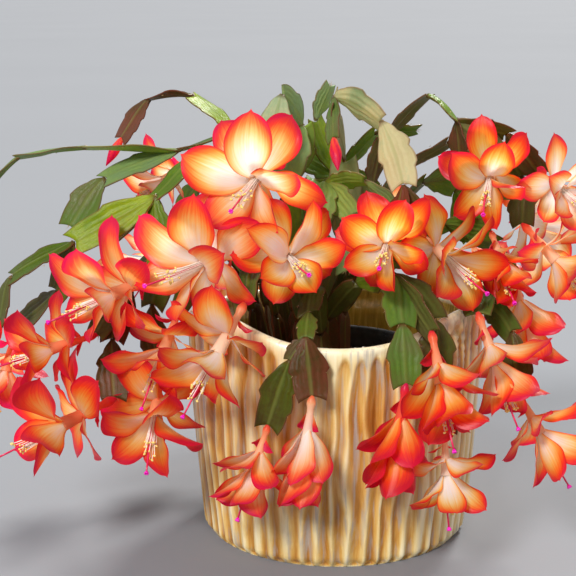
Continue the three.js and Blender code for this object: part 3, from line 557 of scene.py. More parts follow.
def tube(path, radii, sides):
    """A round skin along a path of points, whose ends draw in to a point."""
    path = np.asarray(path, float)
    leads = unit(np.gradient(path, axis=0))
    path = np.concatenate([path[:1], path, path[-1:]])
    leads = np.concatenate([leads[:1], leads, leads[-1:]])
    radii = np.concatenate([[0], radii, [0]])
    side = np.cross(leads[0], (0.3, 0.5, 0.81) if abs(leads[0][2]) < 0.8 else (1.0, 0.2, 0.1))
    turn = ring_of(sides)[:, None]
    rows = []
    for place, lead, radius in zip(path, leads, radii):
        side = unit(side - lead * side.dot(lead))
        over = np.cross(lead, side)
        rows.append(place + radius * (np.cos(turn) * side + np.sin(turn) * over))
    return np.stack(rows)


print("A tube along 2 points with 3 sides has", tube([(0, 0, 0), (0, 0, 1)], [1, 1], 3).shape[:2], "points")

# %% [markdown]
# Water leaves the pot through four round holes in its floor. In the factory pins in the mould leave them
# open. Here each is cut by a Boolean with a short upright column, which keeps clean round edges in the thin
# plastic; a hole left in the grid itself would have jagged ones.

# %% Drain holes
DRAIN_HOLES = 4
DRAIN_HOLE_RADIUS = 4
DRAIN_CIRCLE = 34
DRILL_HALF = 9
DRILL_SIDES = 24


def drill(piece, x, y, z, radius):
    """Cut an upright round hole through a piece."""
    column = tube([(x, y, z - DRILL_HALF), (x, y, z), (x, y, z + DRILL_HALF)], [radius] * 3, DRILL_SIDES)
    bit = make_piece("drill", [sheet(column, 0, True)], [])
    cut = piece.modifiers.new("hole", "BOOLEAN")
    cut.object = bit
    cut.operation = "DIFFERENCE"
    drilled = bpy.data.meshes.new_from_object(piece.evaluated_get(bpy.context.evaluated_depsgraph_get()))
    piece.modifiers.clear()
    piece.data = drilled
    bpy.data.objects.remove(bit)


for turn in ring_of(DRAIN_HOLES):
    drill(nursery, NURSERY_CENTRE[0] + DRAIN_CIRCLE * math.cos(turn),
          NURSERY_CENTRE[1] + DRAIN_CIRCLE * math.sin(turn), WELL_FLOOR, DRAIN_HOLE_RADIUS)
print("Nursery pot faces with its holes:", len(nursery.data.polygons))

# %% [markdown]
# The plant's plan says where every stem grows. A stem is a list of runs: the first starts in the mix, the
# others branch off at a joint of an earlier one. A joint is its place in mm and a turn, the angle by which
# the broad face of the segment that ends there is turned from the front. Most segments of such a cactus are
# 40 to 45 mm long and 25 mm wide. The youngest are half as long, and a few in the shade are longer.

# %% Plan of the stems
SOIL_TOP = 114
STEMS = {
    "stem_left_far": [
        [(-40, -2, SOIL_TOP), (-48, -2, 158, 75), (-56, 0, 204, 70), (-62, 2, 240, 60), (-66, 4, 275, 60),
         (-107, -10, 266, 80), (-168, -20, 269, 85), (-212, -25, 263, 88), (-238, -28, 236, 80)],
        [(-107, -10, 266), (-156, -22, 248, 45), (-179, -28, 216, 20)],
        [(-66, 4, 275), (-98, 10, 301, 60), (-128, 15, 298, 80), (-148, 12, 271, 50)],
        [(-62, 2, 240), (-100, 28, 256, 60)],
    ],
    "stem_left_front": [
        [(-36, -28, SOIL_TOP), (-42, -30, 158, 60), (-50, -28, 204, 60), (-58, -18, 240, 60),
         (-88, -32, 267, 75), (-119, -55, 241, 60), (-172, -62, 212, 10), (-213, -60, 189, 55),
         (-222, -56, 159, 60)],
        [(-172, -62, 212), (-186, -46, 176, 30), (-217, -34, 148, 50)],
        [(-119, -55, 241), (-144, -48, 216, 50)],
        [(-119, -55, 241), (-115, -72, 192, 30)],
    ],
    "stem_left_low": [
        [(-46, 16, SOIL_TOP), (-56, 12, 158, 70), (-76, -4, 196, 70), (-108, -30, 208, 70),
         (-138, -46, 184, 60), (-148, -62, 147, 20), (-146, -76, 111, 10)],
        [(-138, -46, 184), (-158, -70, 152, 40)],
        [(-108, -30, 208), (-124, -36, 164, 30), (-118, -48, 118, 30)],
    ],
    "stem_front_a": [
        [(-26, -18, SOIL_TOP), (-28, -20, 158, 40), (-31, -16, 204, 40), (-28, -10, 246, 40),
         (-24, -12, 283, 30), (-37, -30, 304, 30), (-44, -46, 262, 10)],
        [(-24, -12, 283), (-34, -34, 250, 20)],
    ],
    "stem_front_b": [
        [(-20, -44, SOIL_TOP), (-24, -48, 158, 30), (-32, -46, 202, 30), (-36, -46, 236, 40),
         (-62, -68, 208, 40)],
        [(-36, -46, 236), (-40, -64, 210, 50)],
    ],
    "stem_front_c": [
        [(-54, -8, SOIL_TOP), (-58, -12, 158, 60), (-62, -20, 200, 60), (-72, -36, 222, 60),
         (-92, -54, 196, 60), (-103, -66, 170, 40)],
        [(-62, -20, 200), (-56, -62, 204, 70), (-60, -106, 181, 50)],
    ],
    "stem_centre": [
        [(-10, -50, SOIL_TOP), (-12, -50, 150, 20), (-16, -60, 182, 30), (-20, -90, 172, 40),
         (-22, -108, 160, 10), (-18, -118, 124, 0)],
        [(-22, -108, 160), (-32, -110, 146, 15), (-46, -114, 104, 15)],
    ],
    "stem_pale_right": [
        [(-14, -16, SOIL_TOP), (-12, -14, 158, 60), (2, -6, 204, 50), (5, -4, 259, 10),
         (-2, -18, 302, 70), (28, -44, 288, 60), (41, -62, 249, 15), (32, -74, 221, 55)],
        [(41, -62, 249), (49, -62, 226, 20)],
        [(-2, -18, 302), (-3, -34, 276, 60)],
    ],
    "stem_right_arch": [
        [(-2, 4, SOIL_TOP), (-1, 4, 158, 40), (12, 4, 200, 40), (24, 4, 240, 40), (32, 0, 272, 50),
         (60, -12, 303, 80), (79, -20, 287, 100), (84, -12, 248, 70)],
        [(79, -20, 287), (114, -12, 277, 75), (138, -6, 250, 60)],
        [(79, -20, 287), (106, -10, 263, 30)],
    ],
    "stem_right_back": [
        [(-6, 20, SOIL_TOP), (-4, 22, 158, 50), (14, 26, 200, 60), (40, 24, 242, 70), (78, 20, 268, 75),
         (108, 18, 270, 75), (130, 18, 244, 60), (130, 8, 212, 40)],
        [(108, 18, 270), (112, 4, 236, 50)],
    ],
    "stem_right_mid": [
        [(-2, -11, SOIL_TOP), (0, -11, 158, 40), (26, -7, 202, 50), (72, -30, 220, 60),
         (102, -38, 215, 50)],
        [(72, -30, 220), (106, -20, 204, 60), (120, -24, 186, 60)],
    ],
    "stem_shoulder": [
        [(4, -23, SOIL_TOP), (5, -23, 158, 60), (22, -28, 190, 60), (58, -30, 199, 60),
         (94, -37, 178, 60), (88, -84, 170, 20)],
        [(94, -37, 178), (114, -62, 152, 50), (116, -76, 116, 40)],
    ],
    "stem_front_right": [
        [(-8, -35, SOIL_TOP), (-6, -38, 158, 20), (12, -62, 186, 20), (34, -86, 196, 0),
         (38, -107, 168, -20), (40, -118, 132, -10)],
        [(34, -86, 196), (57, -107, 163, 60)],
        [(34, -86, 196), (60, -90, 167, 30), (62, -94, 132, -10), (66, -106, 98, -20)],
    ],
    "stem_crown": [
        [(-20, 14, SOIL_TOP), (-18, 16, 158, 30), (-8, 18, 204, 50), (2, 20, 244, 60), (28, 26, 274, 70),
         (58, 32, 276, 75)],
        [(2, 20, 244), (-14, 18, 284, 50), (-4, 22, 308, 60)],
        [(2, 20, 244), (-28, 22, 262, 30)],
    ],
    "stem_inner": [
        [(-14, -2, SOIL_TOP), (-16, -4, 158, 30), (-14, -12, 204, 30), (-8, -24, 246, 30),
         (-14, -44, 222, 10), (-12, -56, 196, 10)],
        [(-8, -24, 246), (10, -40, 226, 40), (6, -52, 190, 30)],
        [(-8, -24, 246), (18, -40, 249, 70), (52, -54, 217, 70)],
    ],
    "stem_back_left": [
        [(-30, 26, SOIL_TOP), (-36, 30, 158, 40), (-46, 40, 204, 40), (-66, 60, 236, 40),
         (-98, 82, 232, 40), (-116, 96, 196, 40)],
        [(-66, 60, 236), (-62, 98, 222, 30), (-64, 120, 184, 30)],
    ],
    "stem_back_mid": [
        [(-18, 36, SOIL_TOP), (-16, 42, 158, 30), (-12, 52, 204, 30), (-12, 76, 234, 30),
         (-14, 110, 224, 30), (-16, 126, 186, 20)],
        [(-12, 76, 234), (16, 98, 240, 40), (34, 120, 210, 40)],
    ],
    "stem_back_right": [
        [(-2, 38, SOIL_TOP), (4, 42, 158, 40), (32, 52, 200, 50), (66, 70, 234, 75), (92, 84, 226, 45),
         (106, 88, 188, 15)],
        [(66, 70, 234), (96, 58, 248, 80), (124, 56, 222, 80)],
    ],
}
print(len(STEMS), "stems with", sum(len(run) - 1 for runs in STEMS.values() for run in runs), "segments")

# %% [markdown]
# The potting mix is peat and fine bark with white grains of perlite. Its surface is a low heap of crumbs, so
# the grid is pushed up and down by a sum of waves of crumb size, and it dips to a collar where each stem
# stands in its hole. Loose crumbs and grains lie on top of it as small lumpy solids.

# %% Potting mix
SOIL_RINGS = 60
SOIL_COLUMNS = 150
SOIL_EDGE = 62
SOIL_UNDERSIDE = ((0, 11), (47, 11), (48.2, 12), (SOIL_EDGE - 0.3, SOIL_TOP - 3))
MOUND_FALL = 2.2
COLLAR_RISE = 1.2
COLLAR_REACH = 7
HOLE_DIP = 3
HOLE_REACH = 3.4
CRUMB_WAVES = 14
CRUMB_LUMPS = 0.28
CRUMBS = 260
WHITE_ONE_IN = 5
draw = np.random.default_rng(7)


def crumb_waves(x, y):
    """Heights of a crumbly surface: waves of 3 to 14 mm that cross at many angles."""
    height = 0
    for index in range(CRUMB_WAVES):
        angle = math.pi * wobble(index + 500)
        wave = 3 + 11 * abs(wobble(index + 520))
        across = x * math.cos(angle) + y * math.sin(angle)
        phase = 2 * math.pi * across / wave + 9 * wobble(index + 540)
        height = height + wave / CRUMB_WAVES * 0.22 * np.sin(phase)
    return height


def soil_mound():
    """Rows from the middle of the underside up the wall of the pot and over the crumbly top to its middle."""
    turn = ring_of(SOIL_COLUMNS)
    rows = [laid_round(radius, height, turn) for radius, height in SOIL_UNDERSIDE]
    for share in np.linspace(1, 0, SOIL_RINGS):
        x = SOIL_EDGE * share * np.cos(turn)
        y = SOIL_EDGE * share * np.sin(turn)
        height = SOIL_TOP - MOUND_FALL * share ** 3 + crumb_waves(x, y) * smooth(0, 0.03, share)
        for runs in STEMS.values():
            stem_x, stem_y, _ = runs[0][0]
            away = np.hypot(x + NURSERY_CENTRE[0] - stem_x, y + NURSERY_CENTRE[1] - stem_y)
            collar = COLLAR_RISE * np.exp(-(away / COLLAR_REACH) ** 2)
            height = height + collar - HOLE_DIP * np.exp(-(away / HOLE_REACH) ** 4)
        rows.append(np.stack([x, y, height], -1))
    return np.stack(rows) + [*NURSERY_CENTRE, 0]


def crumb(place, size, flat):
    """A lumpy little solid: a ball of 6 by 7 points, pushed in and out."""
    rows = []
    for index, tip in enumerate(np.linspace(0, math.pi, 6)):
        draws = np.array([wobble(place[0] * 7 + index * 3 + point) for point in range(7)])
        lumps = 1 + CRUMB_LUMPS * draws
        rows.append(laid_round(size * math.sin(tip) * lumps, flat * size * math.cos(tip), ring_of(7)))
    return np.stack(rows) + place


soil_sheets = [sheet(soil_mound(), 0, True, grain=0.0)]
for index in range(CRUMBS):
    spread = SOIL_EDGE * 0.95 * math.sqrt(draw.random())
    angle = 2 * math.pi * draw.random()
    x = NURSERY_CENTRE[0] + spread * math.cos(angle)
    y = NURSERY_CENTRE[1] + spread * math.sin(angle)
    white = index % WHITE_ONE_IN == 0
    size = draw.uniform(0.9, 1.7) if white else draw.uniform(0.8, 2.6)
    flat = 0.85 if white else draw.uniform(0.3, 0.8)
    lump = crumb(np.array([x, y, SOIL_TOP + 0.2]), size, flat)
    soil_sheets.append(sheet(lump, 0, True, grain=float(white)))
print("Crumbs and grains on the mix:", len(soil_sheets) - 1)

# %% [markdown]
# Peat and bark are matt brown fibres of many shades, and a grain of perlite is a matt, off-white foam of
# glass. The same noise of fibres, 1.5 mm wide, shades both, and a cell pattern of 2.2 mm adds their relief.

# %% Peat and bark
CRUMB_GRAIN = 0.0022
FIBRE = 0.0015


def peat_and_bark():
    finish, tree = new_finish("peat_bark_and_perlite")
    place = add_node(tree, "TexCoord").outputs["Object"]
    grain = add_node(tree, "Attribute", attribute_name="grain").outputs["Fac"]
    crumbs = add_node(tree, "TexVoronoi", {"Vector": place, "Scale": 1 / CRUMB_GRAIN})
    fibres = add_node(tree, "TexNoise", {
        "Vector": place, "Scale": 1 / FIBRE, "Detail": 6.0, "Roughness": 0.7})
    dark = add_node(tree, "ValToRGB", {"Fac": fibres.outputs["Fac"]}, [
        (0.3, "1c130c"), (0.5, "38261a"), (0.68, "5a4028"), (0.85, "84664a")])
    perlite = add_node(tree, "ValToRGB", {"Fac": fibres.outputs["Fac"]}, [(0.3, "cfcabd"), (0.7, "efece4")])
    both = add_node(tree, "Mix", {0: grain, 6: dark.outputs["Color"], 7: perlite.outputs["Color"]},
                    data_type="RGBA")
    rubble = add_node(tree, "Math", {0: crumbs.outputs["Distance"], 1: fibres.outputs["Fac"]},
                      operation="ADD")
    relief = add_node(tree, "Bump", {"Height": rubble.outputs[0], "Strength": 0.8, "Distance": 0.001})
    mix = add_node(tree, "BsdfPrincipled", {
        "Base Color": both.outputs[2], "Roughness": 0.95, "Specular IOR Level": 0.2,
        "Normal": relief.outputs["Normal"]})
    finish_with(tree, mix.outputs["BSDF"])
    return finish


soil = make_piece("soil_crumbs", soil_sheets, [peat_and_bark()], ["soil"])
print("Potting mix faces:", len(soil.data.polygons))

# %% [markdown]
# A stem of this cactus has no leaves. Its flat green segments are the stem itself: each grows out of the
# notch at the end of the last, narrow at its foot, with one or two hooked teeth on each edge and two claws
# at its far corners. A midrib runs up the middle, thick at the foot. The segments could be copies of one
# shape, but no two have the same teeth, and each follows its own curve, so each one is laid out as a closed
# grid: rows run from edge to edge, and each ring of points goes over the front face and back under it.

# %% Curve and facing of each segment
FRONT = Vector((0, -1, 0.3)).normalized()


def frames_of(run):
    """The curve and facing of each segment of a run."""
    joints = [Vector(joint[:3]) for joint in run]
    frames = []
    for index, end in enumerate(joints[1:]):
        start = joints[index]
        before = joints[max(0, index - 1)]
        after = joints[min(len(joints) - 1, index + 2)]
        length = (end - start).length
        lead = (end - start).normalized()
        start_lead = ((end - before).normalized() + lead).normalized()
        end_lead = ((after - start).normalized() + lead).normalized()
        curve = (start, start + start_lead * length / 3, end - end_lead * length / 3, end)
        face = (FRONT - lead * FRONT.dot(lead)).normalized()
        face = Quaternion(lead, math.radians(run[index + 1][3])) @ face
        if frames:
            last_face = frames[-1]["lead"].rotation_difference(lead) @ frames[-1]["face"]
            face = face if last_face.dot(face) > 0 else -face
        frames.append({"curve": curve, "length": length, "lead": lead, "face": face})
    return frames


lengths = [segment["length"] for runs in STEMS.values() for run in runs for segment in frames_of(run)]
print("Segments are", round(min(lengths)), "to", round(max(lengths)), "mm long")

# %% Outline of a segment
SEGMENT_WIDTH = 25
NOTCH_AT = 0.955
CLAWS_AT = 1.05
TWO_TEETH = [(0.0, 0.13, 0), (0.2, 0.55, 6), (0.375, 0.97, 6), (0.44, 0.82, 2), (0.685, 1.01, 7),
             (0.75, 0.84, 2), (CLAWS_AT, 0.68, 7)]
ONE_TOOTH = [(0.0, 0.13, 0), (0.2, 0.55, 6), (0.53, 1.01, 10), (0.6, 0.84, 2), (CLAWS_AT, 0.68, 12)]
OLD_AND_WOODY = [(0.0, 0.3, 0), (0.3, 0.52, 10), (0.8, 0.6, 10), (1.0, 0.3, 10)]


def margin(corners):
    """One edge of a segment as [along, out] points: full curves between teeth that end in a sharp hook."""
    line = [corners[0][:2]]
    for (a0, o0, _), (a1, o1, steps) in zip(corners, corners[1:]):
        for step in range(1, steps + 1):
            share = step / steps
            belly = 0.07 * math.sin(math.pi * share) if steps > 2 else 0.0
            line.append((a0 + (a1 - a0) * share, o0 + (o1 - o0) * share + belly))
    return np.array(line)


EDGES = {"two": margin(TWO_TEETH), "one": margin(ONE_TOOTH), "old": margin(OLD_AND_WOODY)}
NOTCHES = {"two": [(0.44, 0.8), (0.75, 0.82)], "one": [(0.6, 0.82)], "old": []}
print("Points on an edge:", {name: len(edge) for name, edge in EDGES.items()})

# %% [markdown]
# The skin of a segment is a living, waxy cuticle. In full light it is yellow-green, deeper green in shade,
# olive to reddish brown on old or sun-burnt segments, and some carry a pale bloom of wax that turns them
# grey-green or cream. The teeth and edges redden first. A segment is thin, so light from behind shows
# through it. One material covers them all: two numbers on the points, tone and wax, say where between those
# looks a segment stands. Its faint mottle is 2 to 3 mm wide, the spacing of the air pockets under the skin,
# and faint lines run lengthwise, about a millimetre apart.

# %% Waxy skin
MOTTLE = 0.0025
PORE = 0.0005
LINES_ACROSS = 11
LIT_THROUGH_SEGMENT = 0.42


def waxy_skin():
    finish, tree = new_finish("living_waxy_skin")
    place = add_node(tree, "TexCoord").outputs["Object"]
    along = add_node(tree, "Attribute", attribute_name="along").outputs["Fac"]
    across = add_node(tree, "Attribute", attribute_name="across").outputs["Fac"]
    tone = add_node(tree, "Attribute", attribute_name="tone").outputs["Fac"]
    wax = add_node(tree, "Attribute", attribute_name="wax").outputs["Fac"]
    mottle = add_node(tree, "TexNoise", {
        "Vector": place, "Scale": 1 / MOTTLE, "Detail": 5.0, "Roughness": 0.65})
    patches = add_node(tree, "TexNoise", {"Vector": place, "Scale": 1 / (8 * MOTTLE), "Detail": 3.0})
    spread = add_node(tree, "Math", {0: patches.outputs["Fac"], 1: 0.5, 2: tone}, operation="MULTIPLY_ADD")
    mottled = add_node(tree, "Math", {0: mottle.outputs["Fac"], 1: 0.22, 2: spread.outputs[0]},
                       operation="MULTIPLY_ADD")
    lines_across = add_node(tree, "Math", {0: across, 1: float(LINES_ACROSS)}, operation="MULTIPLY")
    on_segment = add_node(tree, "CombineXYZ", {0: lines_across.outputs[0], 1: along, 2: tone})
    lines = add_node(tree, "TexNoise", {"Vector": on_segment.outputs[0], "Scale": 1.0, "Detail": 3.0})
    lined = add_node(tree, "Math", {0: lines.outputs["Fac"], 1: 0.16, 2: mottled.outputs[0]},
                     operation="MULTIPLY_ADD")
    shade = add_node(tree, "Math", {0: lined.outputs[0], 1: 0.44}, operation="SUBTRACT")
    green = add_node(tree, "ValToRGB", {"Fac": shade.outputs[0]}, [
        (0.0, "a4b816"), (0.2, "7c9a14"), (0.4, "5a7c18"), (0.58, "586218"),
        (0.78, "4e3e12"), (1.0, "7c4028")])
    waxed = add_node(tree, "ValToRGB", {"Fac": shade.outputs[0]}, [
        (0.0, "b9cf8c"), (0.35, "9bb58c"), (0.6, "d2ca9a"), (0.8, "c9b98c"), (1.0, "a99a86")])
    uneven = add_node(tree, "Math", {0: patches.outputs["Fac"], 1: 0.9, 2: 0.35}, operation="MULTIPLY_ADD")
    film = add_node(tree, "Math", {0: uneven.outputs[0], 1: wax}, operation="MULTIPLY", use_clamp=True)
    skin = add_node(tree, "Mix", {0: film.outputs[0], 6: green.outputs["Color"], 7: waxed.outputs["Color"]},
                    data_type="RGBA")
    out = add_node(tree, "Math", {0: across}, operation="ABSOLUTE")
    rim = add_node(tree, "MapRange", {
        "Value": out.outputs[0], "From Min": 0.88, "From Max": 1.0, "To Min": 0.0, "To Max": 0.62})
    reddened = add_node(tree, "Mix", {0: rim.outputs[0], 6: skin.outputs[2], 7: linear("7c4030")},
                        data_type="RGBA")
    rib = add_node(tree, "MapRange", {
        "Value": out.outputs[0], "From Min": 0.05, "From Max": 0.16, "To Min": 0.35, "To Max": 0.0})
    ribbed = add_node(tree, "Mix", {0: rib.outputs[0], 6: reddened.outputs[2], 7: linear("8f9a4a")},
                      data_type="RGBA")
    foot = add_node(tree, "MapRange", {
        "Value": along, "From Min": 0.0, "From Max": 0.07, "To Min": 0.8, "To Max": 0.0})
    corky = add_node(tree, "Mix", {0: foot.outputs[0], 6: ribbed.outputs[2], 7: linear("6b4a2c")},
                     data_type="RGBA")
    pores = add_node(tree, "TexNoise", {"Vector": place, "Scale": 1 / PORE, "Detail": 2.0})
    surface = add_node(tree, "Math", {0: mottle.outputs["Fac"], 1: 2.0, 2: pores.outputs["Fac"]},
                       operation="MULTIPLY_ADD")
    relief = add_node(tree, "Bump", {"Height": surface.outputs[0], "Strength": 0.5, "Distance": 0.0003})
    gloss = add_node(tree, "MapRange", {
        "Value": wax, "From Min": 0.0, "From Max": 1.0, "To Min": 0.22, "To Max": 0.42})
    cuticle = add_node(tree, "BsdfPrincipled", {
        "Base Color": corky.outputs[2], "Roughness": gloss.outputs[0], "IOR": 1.42,
        "Specular IOR Level": 0.32, "Normal": relief.outputs["Normal"]})
    lit_through = add_node(tree, "BsdfTranslucent", {"Color": corky.outputs[2]})
    skin_and_flesh = add_node(tree, "MixShader", {
        0: LIT_THROUGH_SEGMENT, 1: cuticle.outputs["BSDF"], 2: lit_through.outputs["BSDF"]})
    finish_with(tree, skin_and_flesh.outputs["Shader"])
    return finish


skin_finish = waxy_skin()
print("Skin nodes:", len(skin_finish.node_tree.nodes))

# %% [markdown]
# A segment is 1.7 mm thick, thinner at its edges, and about 2.6 mm on its midrib. Its blade isn't flat: it
# is a shallow trough with soft ribs along it, and it bows and flutters a little, each one by its own draw.
# The two oldest segments of a stem are woody: narrow, thick and without teeth.

# %% One segment
SEGMENT_THICK = 2.6
BLADE_THICK = 1.7
EDGE_THICK = 0.8
OLD_THICKER = 1.9
MIDRIB_HALF = 1.9
FULL_WIDTH_FROM = 36
BOW = 1.4
TROUGH = (0.9, 1.5)
FLUTTER = 1.1
FLUTING = 0.55
CROSSWISE = np.array([-1, -0.97, -0.89, -0.79, -0.69, -0.59, -0.49, -0.39, -0.29, -0.18, -0.07,
                      0.07, 0.18, 0.29, 0.39, 0.49, 0.59, 0.69, 0.79, 0.89, 0.97, 1])
NOTCH_BRISTLES = (3, 1.5)
TIP_BRISTLES = (5, 3.2)
BRISTLE_RADII = (0.16, 0.03)


def spots_on(segment, along):
    """Places and directions at shares of the segment's length; past its end it goes on straight."""
    a, b, c, d = (np.array(point) for point in segment["curve"])
    t = np.clip(along, 0, 1)[..., None]
    place = a * (1 - t) ** 3 + b * 3 * t * (1 - t) ** 2 + c * 3 * t * t * (1 - t) + d * t ** 3
    lead = unit((b - a) * (1 - t) ** 2 + (c - b) * 2 * t * (1 - t) + (d - c) * t * t)
    place = place + lead * (along[..., None] - t) * segment["length"]
    side = unit(np.cross(lead, np.array(segment["face"])))
    return place, side, lead, np.cross(side, lead)


def segment_sheets(segment, seed, tone, wax, old):
    """A segment as one closed skin, and the fine bristles in its notches."""
    half = SEGMENT_WIDTH / 2 * min(1, segment["length"] / FULL_WIDTH_FROM) * (1 + 0.07 * wobble(seed))
    kinds = {sign: "old" if old else "two" if sign * wobble(seed + 0.2) > 0.3 else "one" for sign in (1, -1)}
    left, right = EDGES[kinds[-1]], EDGES[kinds[1]]
    bow = 0 if old else BOW * wobble(seed + 0.5)
    trough = TROUGH[0] + TROUGH[1] * wobble(seed + 0.9)
    flutter = FLUTTER * wobble(seed + 0.7)

    def lay(rows, thick_share, shift):
        """The front and back of some rows of the outline."""
        edge_along = np.where(CROSSWISE < 0, left[rows, :1], right[rows, :1])
        edge_out = np.where(CROSSWISE < 0, left[rows, 1:], right[rows, 1:])
        middle = NOTCH_AT / CLAWS_AT * (left[rows, :1] + right[rows, :1]) / 2
        share = np.abs(CROSSWISE)
        along = middle + (edge_along - middle) * share ** 1.5 + shift
        out = CROSSWISE * edge_out * half
        place, side, _, up = spots_on(segment, along)
        ridge = (SEGMENT_THICK - BLADE_THICK) * np.exp(-(out / MIDRIB_HALF) ** 2) * (1.5 - 0.9 * along)
        thick = EDGE_THICK + (BLADE_THICK - EDGE_THICK) * (1 - share ** 2.5) + ridge
        thick = thick * (OLD_THICKER if old else 1) * thick_share
        swell = np.sin(math.pi * np.clip(along, 0, 1))
        lift = (bow * out / half * swell + trough * share ** 2 * swell
                + FLUTING * np.cos(5.2 * math.pi * share) * (1 - 0.8 * share) * swell
                + flutter * np.sin(7 * along + seed) * share ** 2)
        centre = place + side * out[..., None] + up * lift[..., None]
        ring = [centre + up * thick[..., None] / 2, (centre - up * thick[..., None] / 2)[:, ::-1]]
        return np.concatenate(ring, 1), np.concatenate([along, along[:, ::-1]], 1)

    everything = slice(0, len(left))
    parts = [lay(slice(0, 1), 0, -0.035), lay(everything, 1, 0), lay(slice(-1, None), 0, 0.01)]
    grid = np.concatenate([part[0] for part in parts])
    along = np.concatenate([part[1] for part in parts])
    across = np.broadcast_to(np.concatenate([CROSSWISE, CROSSWISE[::-1]]), along.shape)
    sheets = [sheet(grid, 0, True, along=along, across=across, tone=tone, wax=wax)]
    tufts = [(sign, *notch, *NOTCH_BRISTLES) for sign in (1, -1) for notch in NOTCHES[kinds[sign]]]
    tufts += [] if old else [(sign, NOTCH_AT, 0.12, *TIP_BRISTLES) for sign in (1, -1)]
    for order, (sign, along_at, out_at, hairs, usual_reach) in enumerate(tufts):
        place, side, lead, up = (value[0] for value in spots_on(segment, np.array([along_at])))
        root = place + side * sign * out_at * half
        for hair in range(hairs):
            draw_at = seed + order * 3.1 + hair * 1.7
            reach = usual_reach * (1 + 0.5 * wobble(draw_at))
            spread = side * (sign * min(1, out_at * 1.5) + 0.5 * wobble(draw_at + 2))
            way = unit(spread + lead * 0.8 + up * 0.6 * wobble(draw_at + 1))
            sheets.append(sheet(tube([root - way * 0.3, root + way * reach], BRISTLE_RADII, 3), 1, True))
    return sheets


first_segment = frames_of(STEMS["stem_centre"][0])[0]
print("Skin and bristles of a segment:", len(segment_sheets(first_segment, 0, 0.5, 0.1, False)), "sheets")

# %% [markdown]
# The fine hairs in the notches are stiff, dry bristles of a straw colour, 1 to 5 mm long: the last trace of
# a cactus's spines. Dry keratin-like fibre is matt, and its uneven brown and straw tint, in patches of a
# millimetre, is all the pattern that it shows.

# %% Straw bristle
STRAW_PATCH = 0.001


def straw_bristle():
    finish, tree = new_finish("dry_straw_bristle")
    place = add_node(tree, "TexCoord").outputs["Object"]
    uneven = add_node(tree, "TexNoise", {"Vector": place, "Scale": 1 / STRAW_PATCH, "Detail": 2.0})
    tint = add_node(tree, "ValToRGB", {"Fac": uneven.outputs["Fac"]}, [(0.3, "8c6a3a"), (0.7, "d9c08a")])
    fibre = add_node(tree, "BsdfPrincipled", {
        "Base Color": tint.outputs["Color"], "Roughness": 0.7, "IOR": 1.5})
    finish_with(tree, fibre.outputs["BSDF"])
    return finish


bristle_finish = straw_bristle()
print("Bristle finish:", bristle_finish.name)

# %% [markdown]
# Each run's look is a tone at its foot, a tone at its tip and a share of wax, matched to the photograph: a
# tone of 0 is bright yellow-green, 0.5 olive and 1 reddish brown. A few segments stand out from their run,
# such as the cream one that hangs at the right, and have a tone and a share of wax of their own.

# %% Looks of the runs
RUN_LOOKS = {
    "stem_left_far": [(0.2, 0.4, 0.4), (0.15, 0.45, 0.6), (0.75, 0.95, 0.1), (0.05, 0.1, 0.1)],
    "stem_left_front": [(0.2, 0.55, 0.05), (0.45, 0.65, 0.1), (0.45, 0.55, 0.1), (0.25, 0.3, 0.05)],
    "stem_left_low": [(0.4, 0.85, 0.05), (0.6, 0.7, 0.05), (0.55, 0.75, 0.1)],
    "stem_front_a": [(0.25, 0.25, 0.4), (0.3, 0.25, 0.6)],
    "stem_front_b": [(0.15, 0.25, 0.1), (0.2, 0.25, 0.2)],
    "stem_front_c": [(0.2, 0.5, 0.1), (0.3, 0.45, 0.1)],
    "stem_centre": [(0.5, 0.85, 0.1), (0.2, 0.35, 0.05)],
    "stem_pale_right": [(0.4, 0.95, 0.75), (0.8, 0.85, 0.15), (0.5, 0.6, 0.6)],
    "stem_right_arch": [(0.4, 0.8, 0.25), (0.6, 0.75, 0.15), (0.4, 0.5, 0.5)],
    "stem_right_back": [(0.4, 0.75, 0.15), (0.35, 0.4, 0.1)],
    "stem_right_mid": [(0.25, 0.35, 0.15), (0.4, 0.5, 0.1)],
    "stem_shoulder": [(0.35, 0.5, 0.2), (0.5, 0.75, 0.15)],
    "stem_front_right": [(0.28, 0.48, 0.12), (0.6, 0.75, 0.1), (0.6, 0.85, 0.1)],
    "stem_crown": [(0.2, 0.3, 0.1), (0.12, 0.12, 0.1), (0.2, 0.25, 0.3)],
    "stem_inner": [(0.15, 0.25, 0.6), (0.2, 0.3, 0.5), (0.12, 0.2, 0.8)],
    "stem_back_left": [(0.3, 0.4, 0.2), (0.3, 0.45, 0.1)],
    "stem_back_mid": [(0.35, 0.4, 0.2), (0.25, 0.4, 0.1)],
    "stem_back_right": [(0.3, 0.45, 0.1), (0.35, 0.45, 0.3)],
}
print("Runs with a look:", sum(len(looks) for looks in RUN_LOOKS.values()))

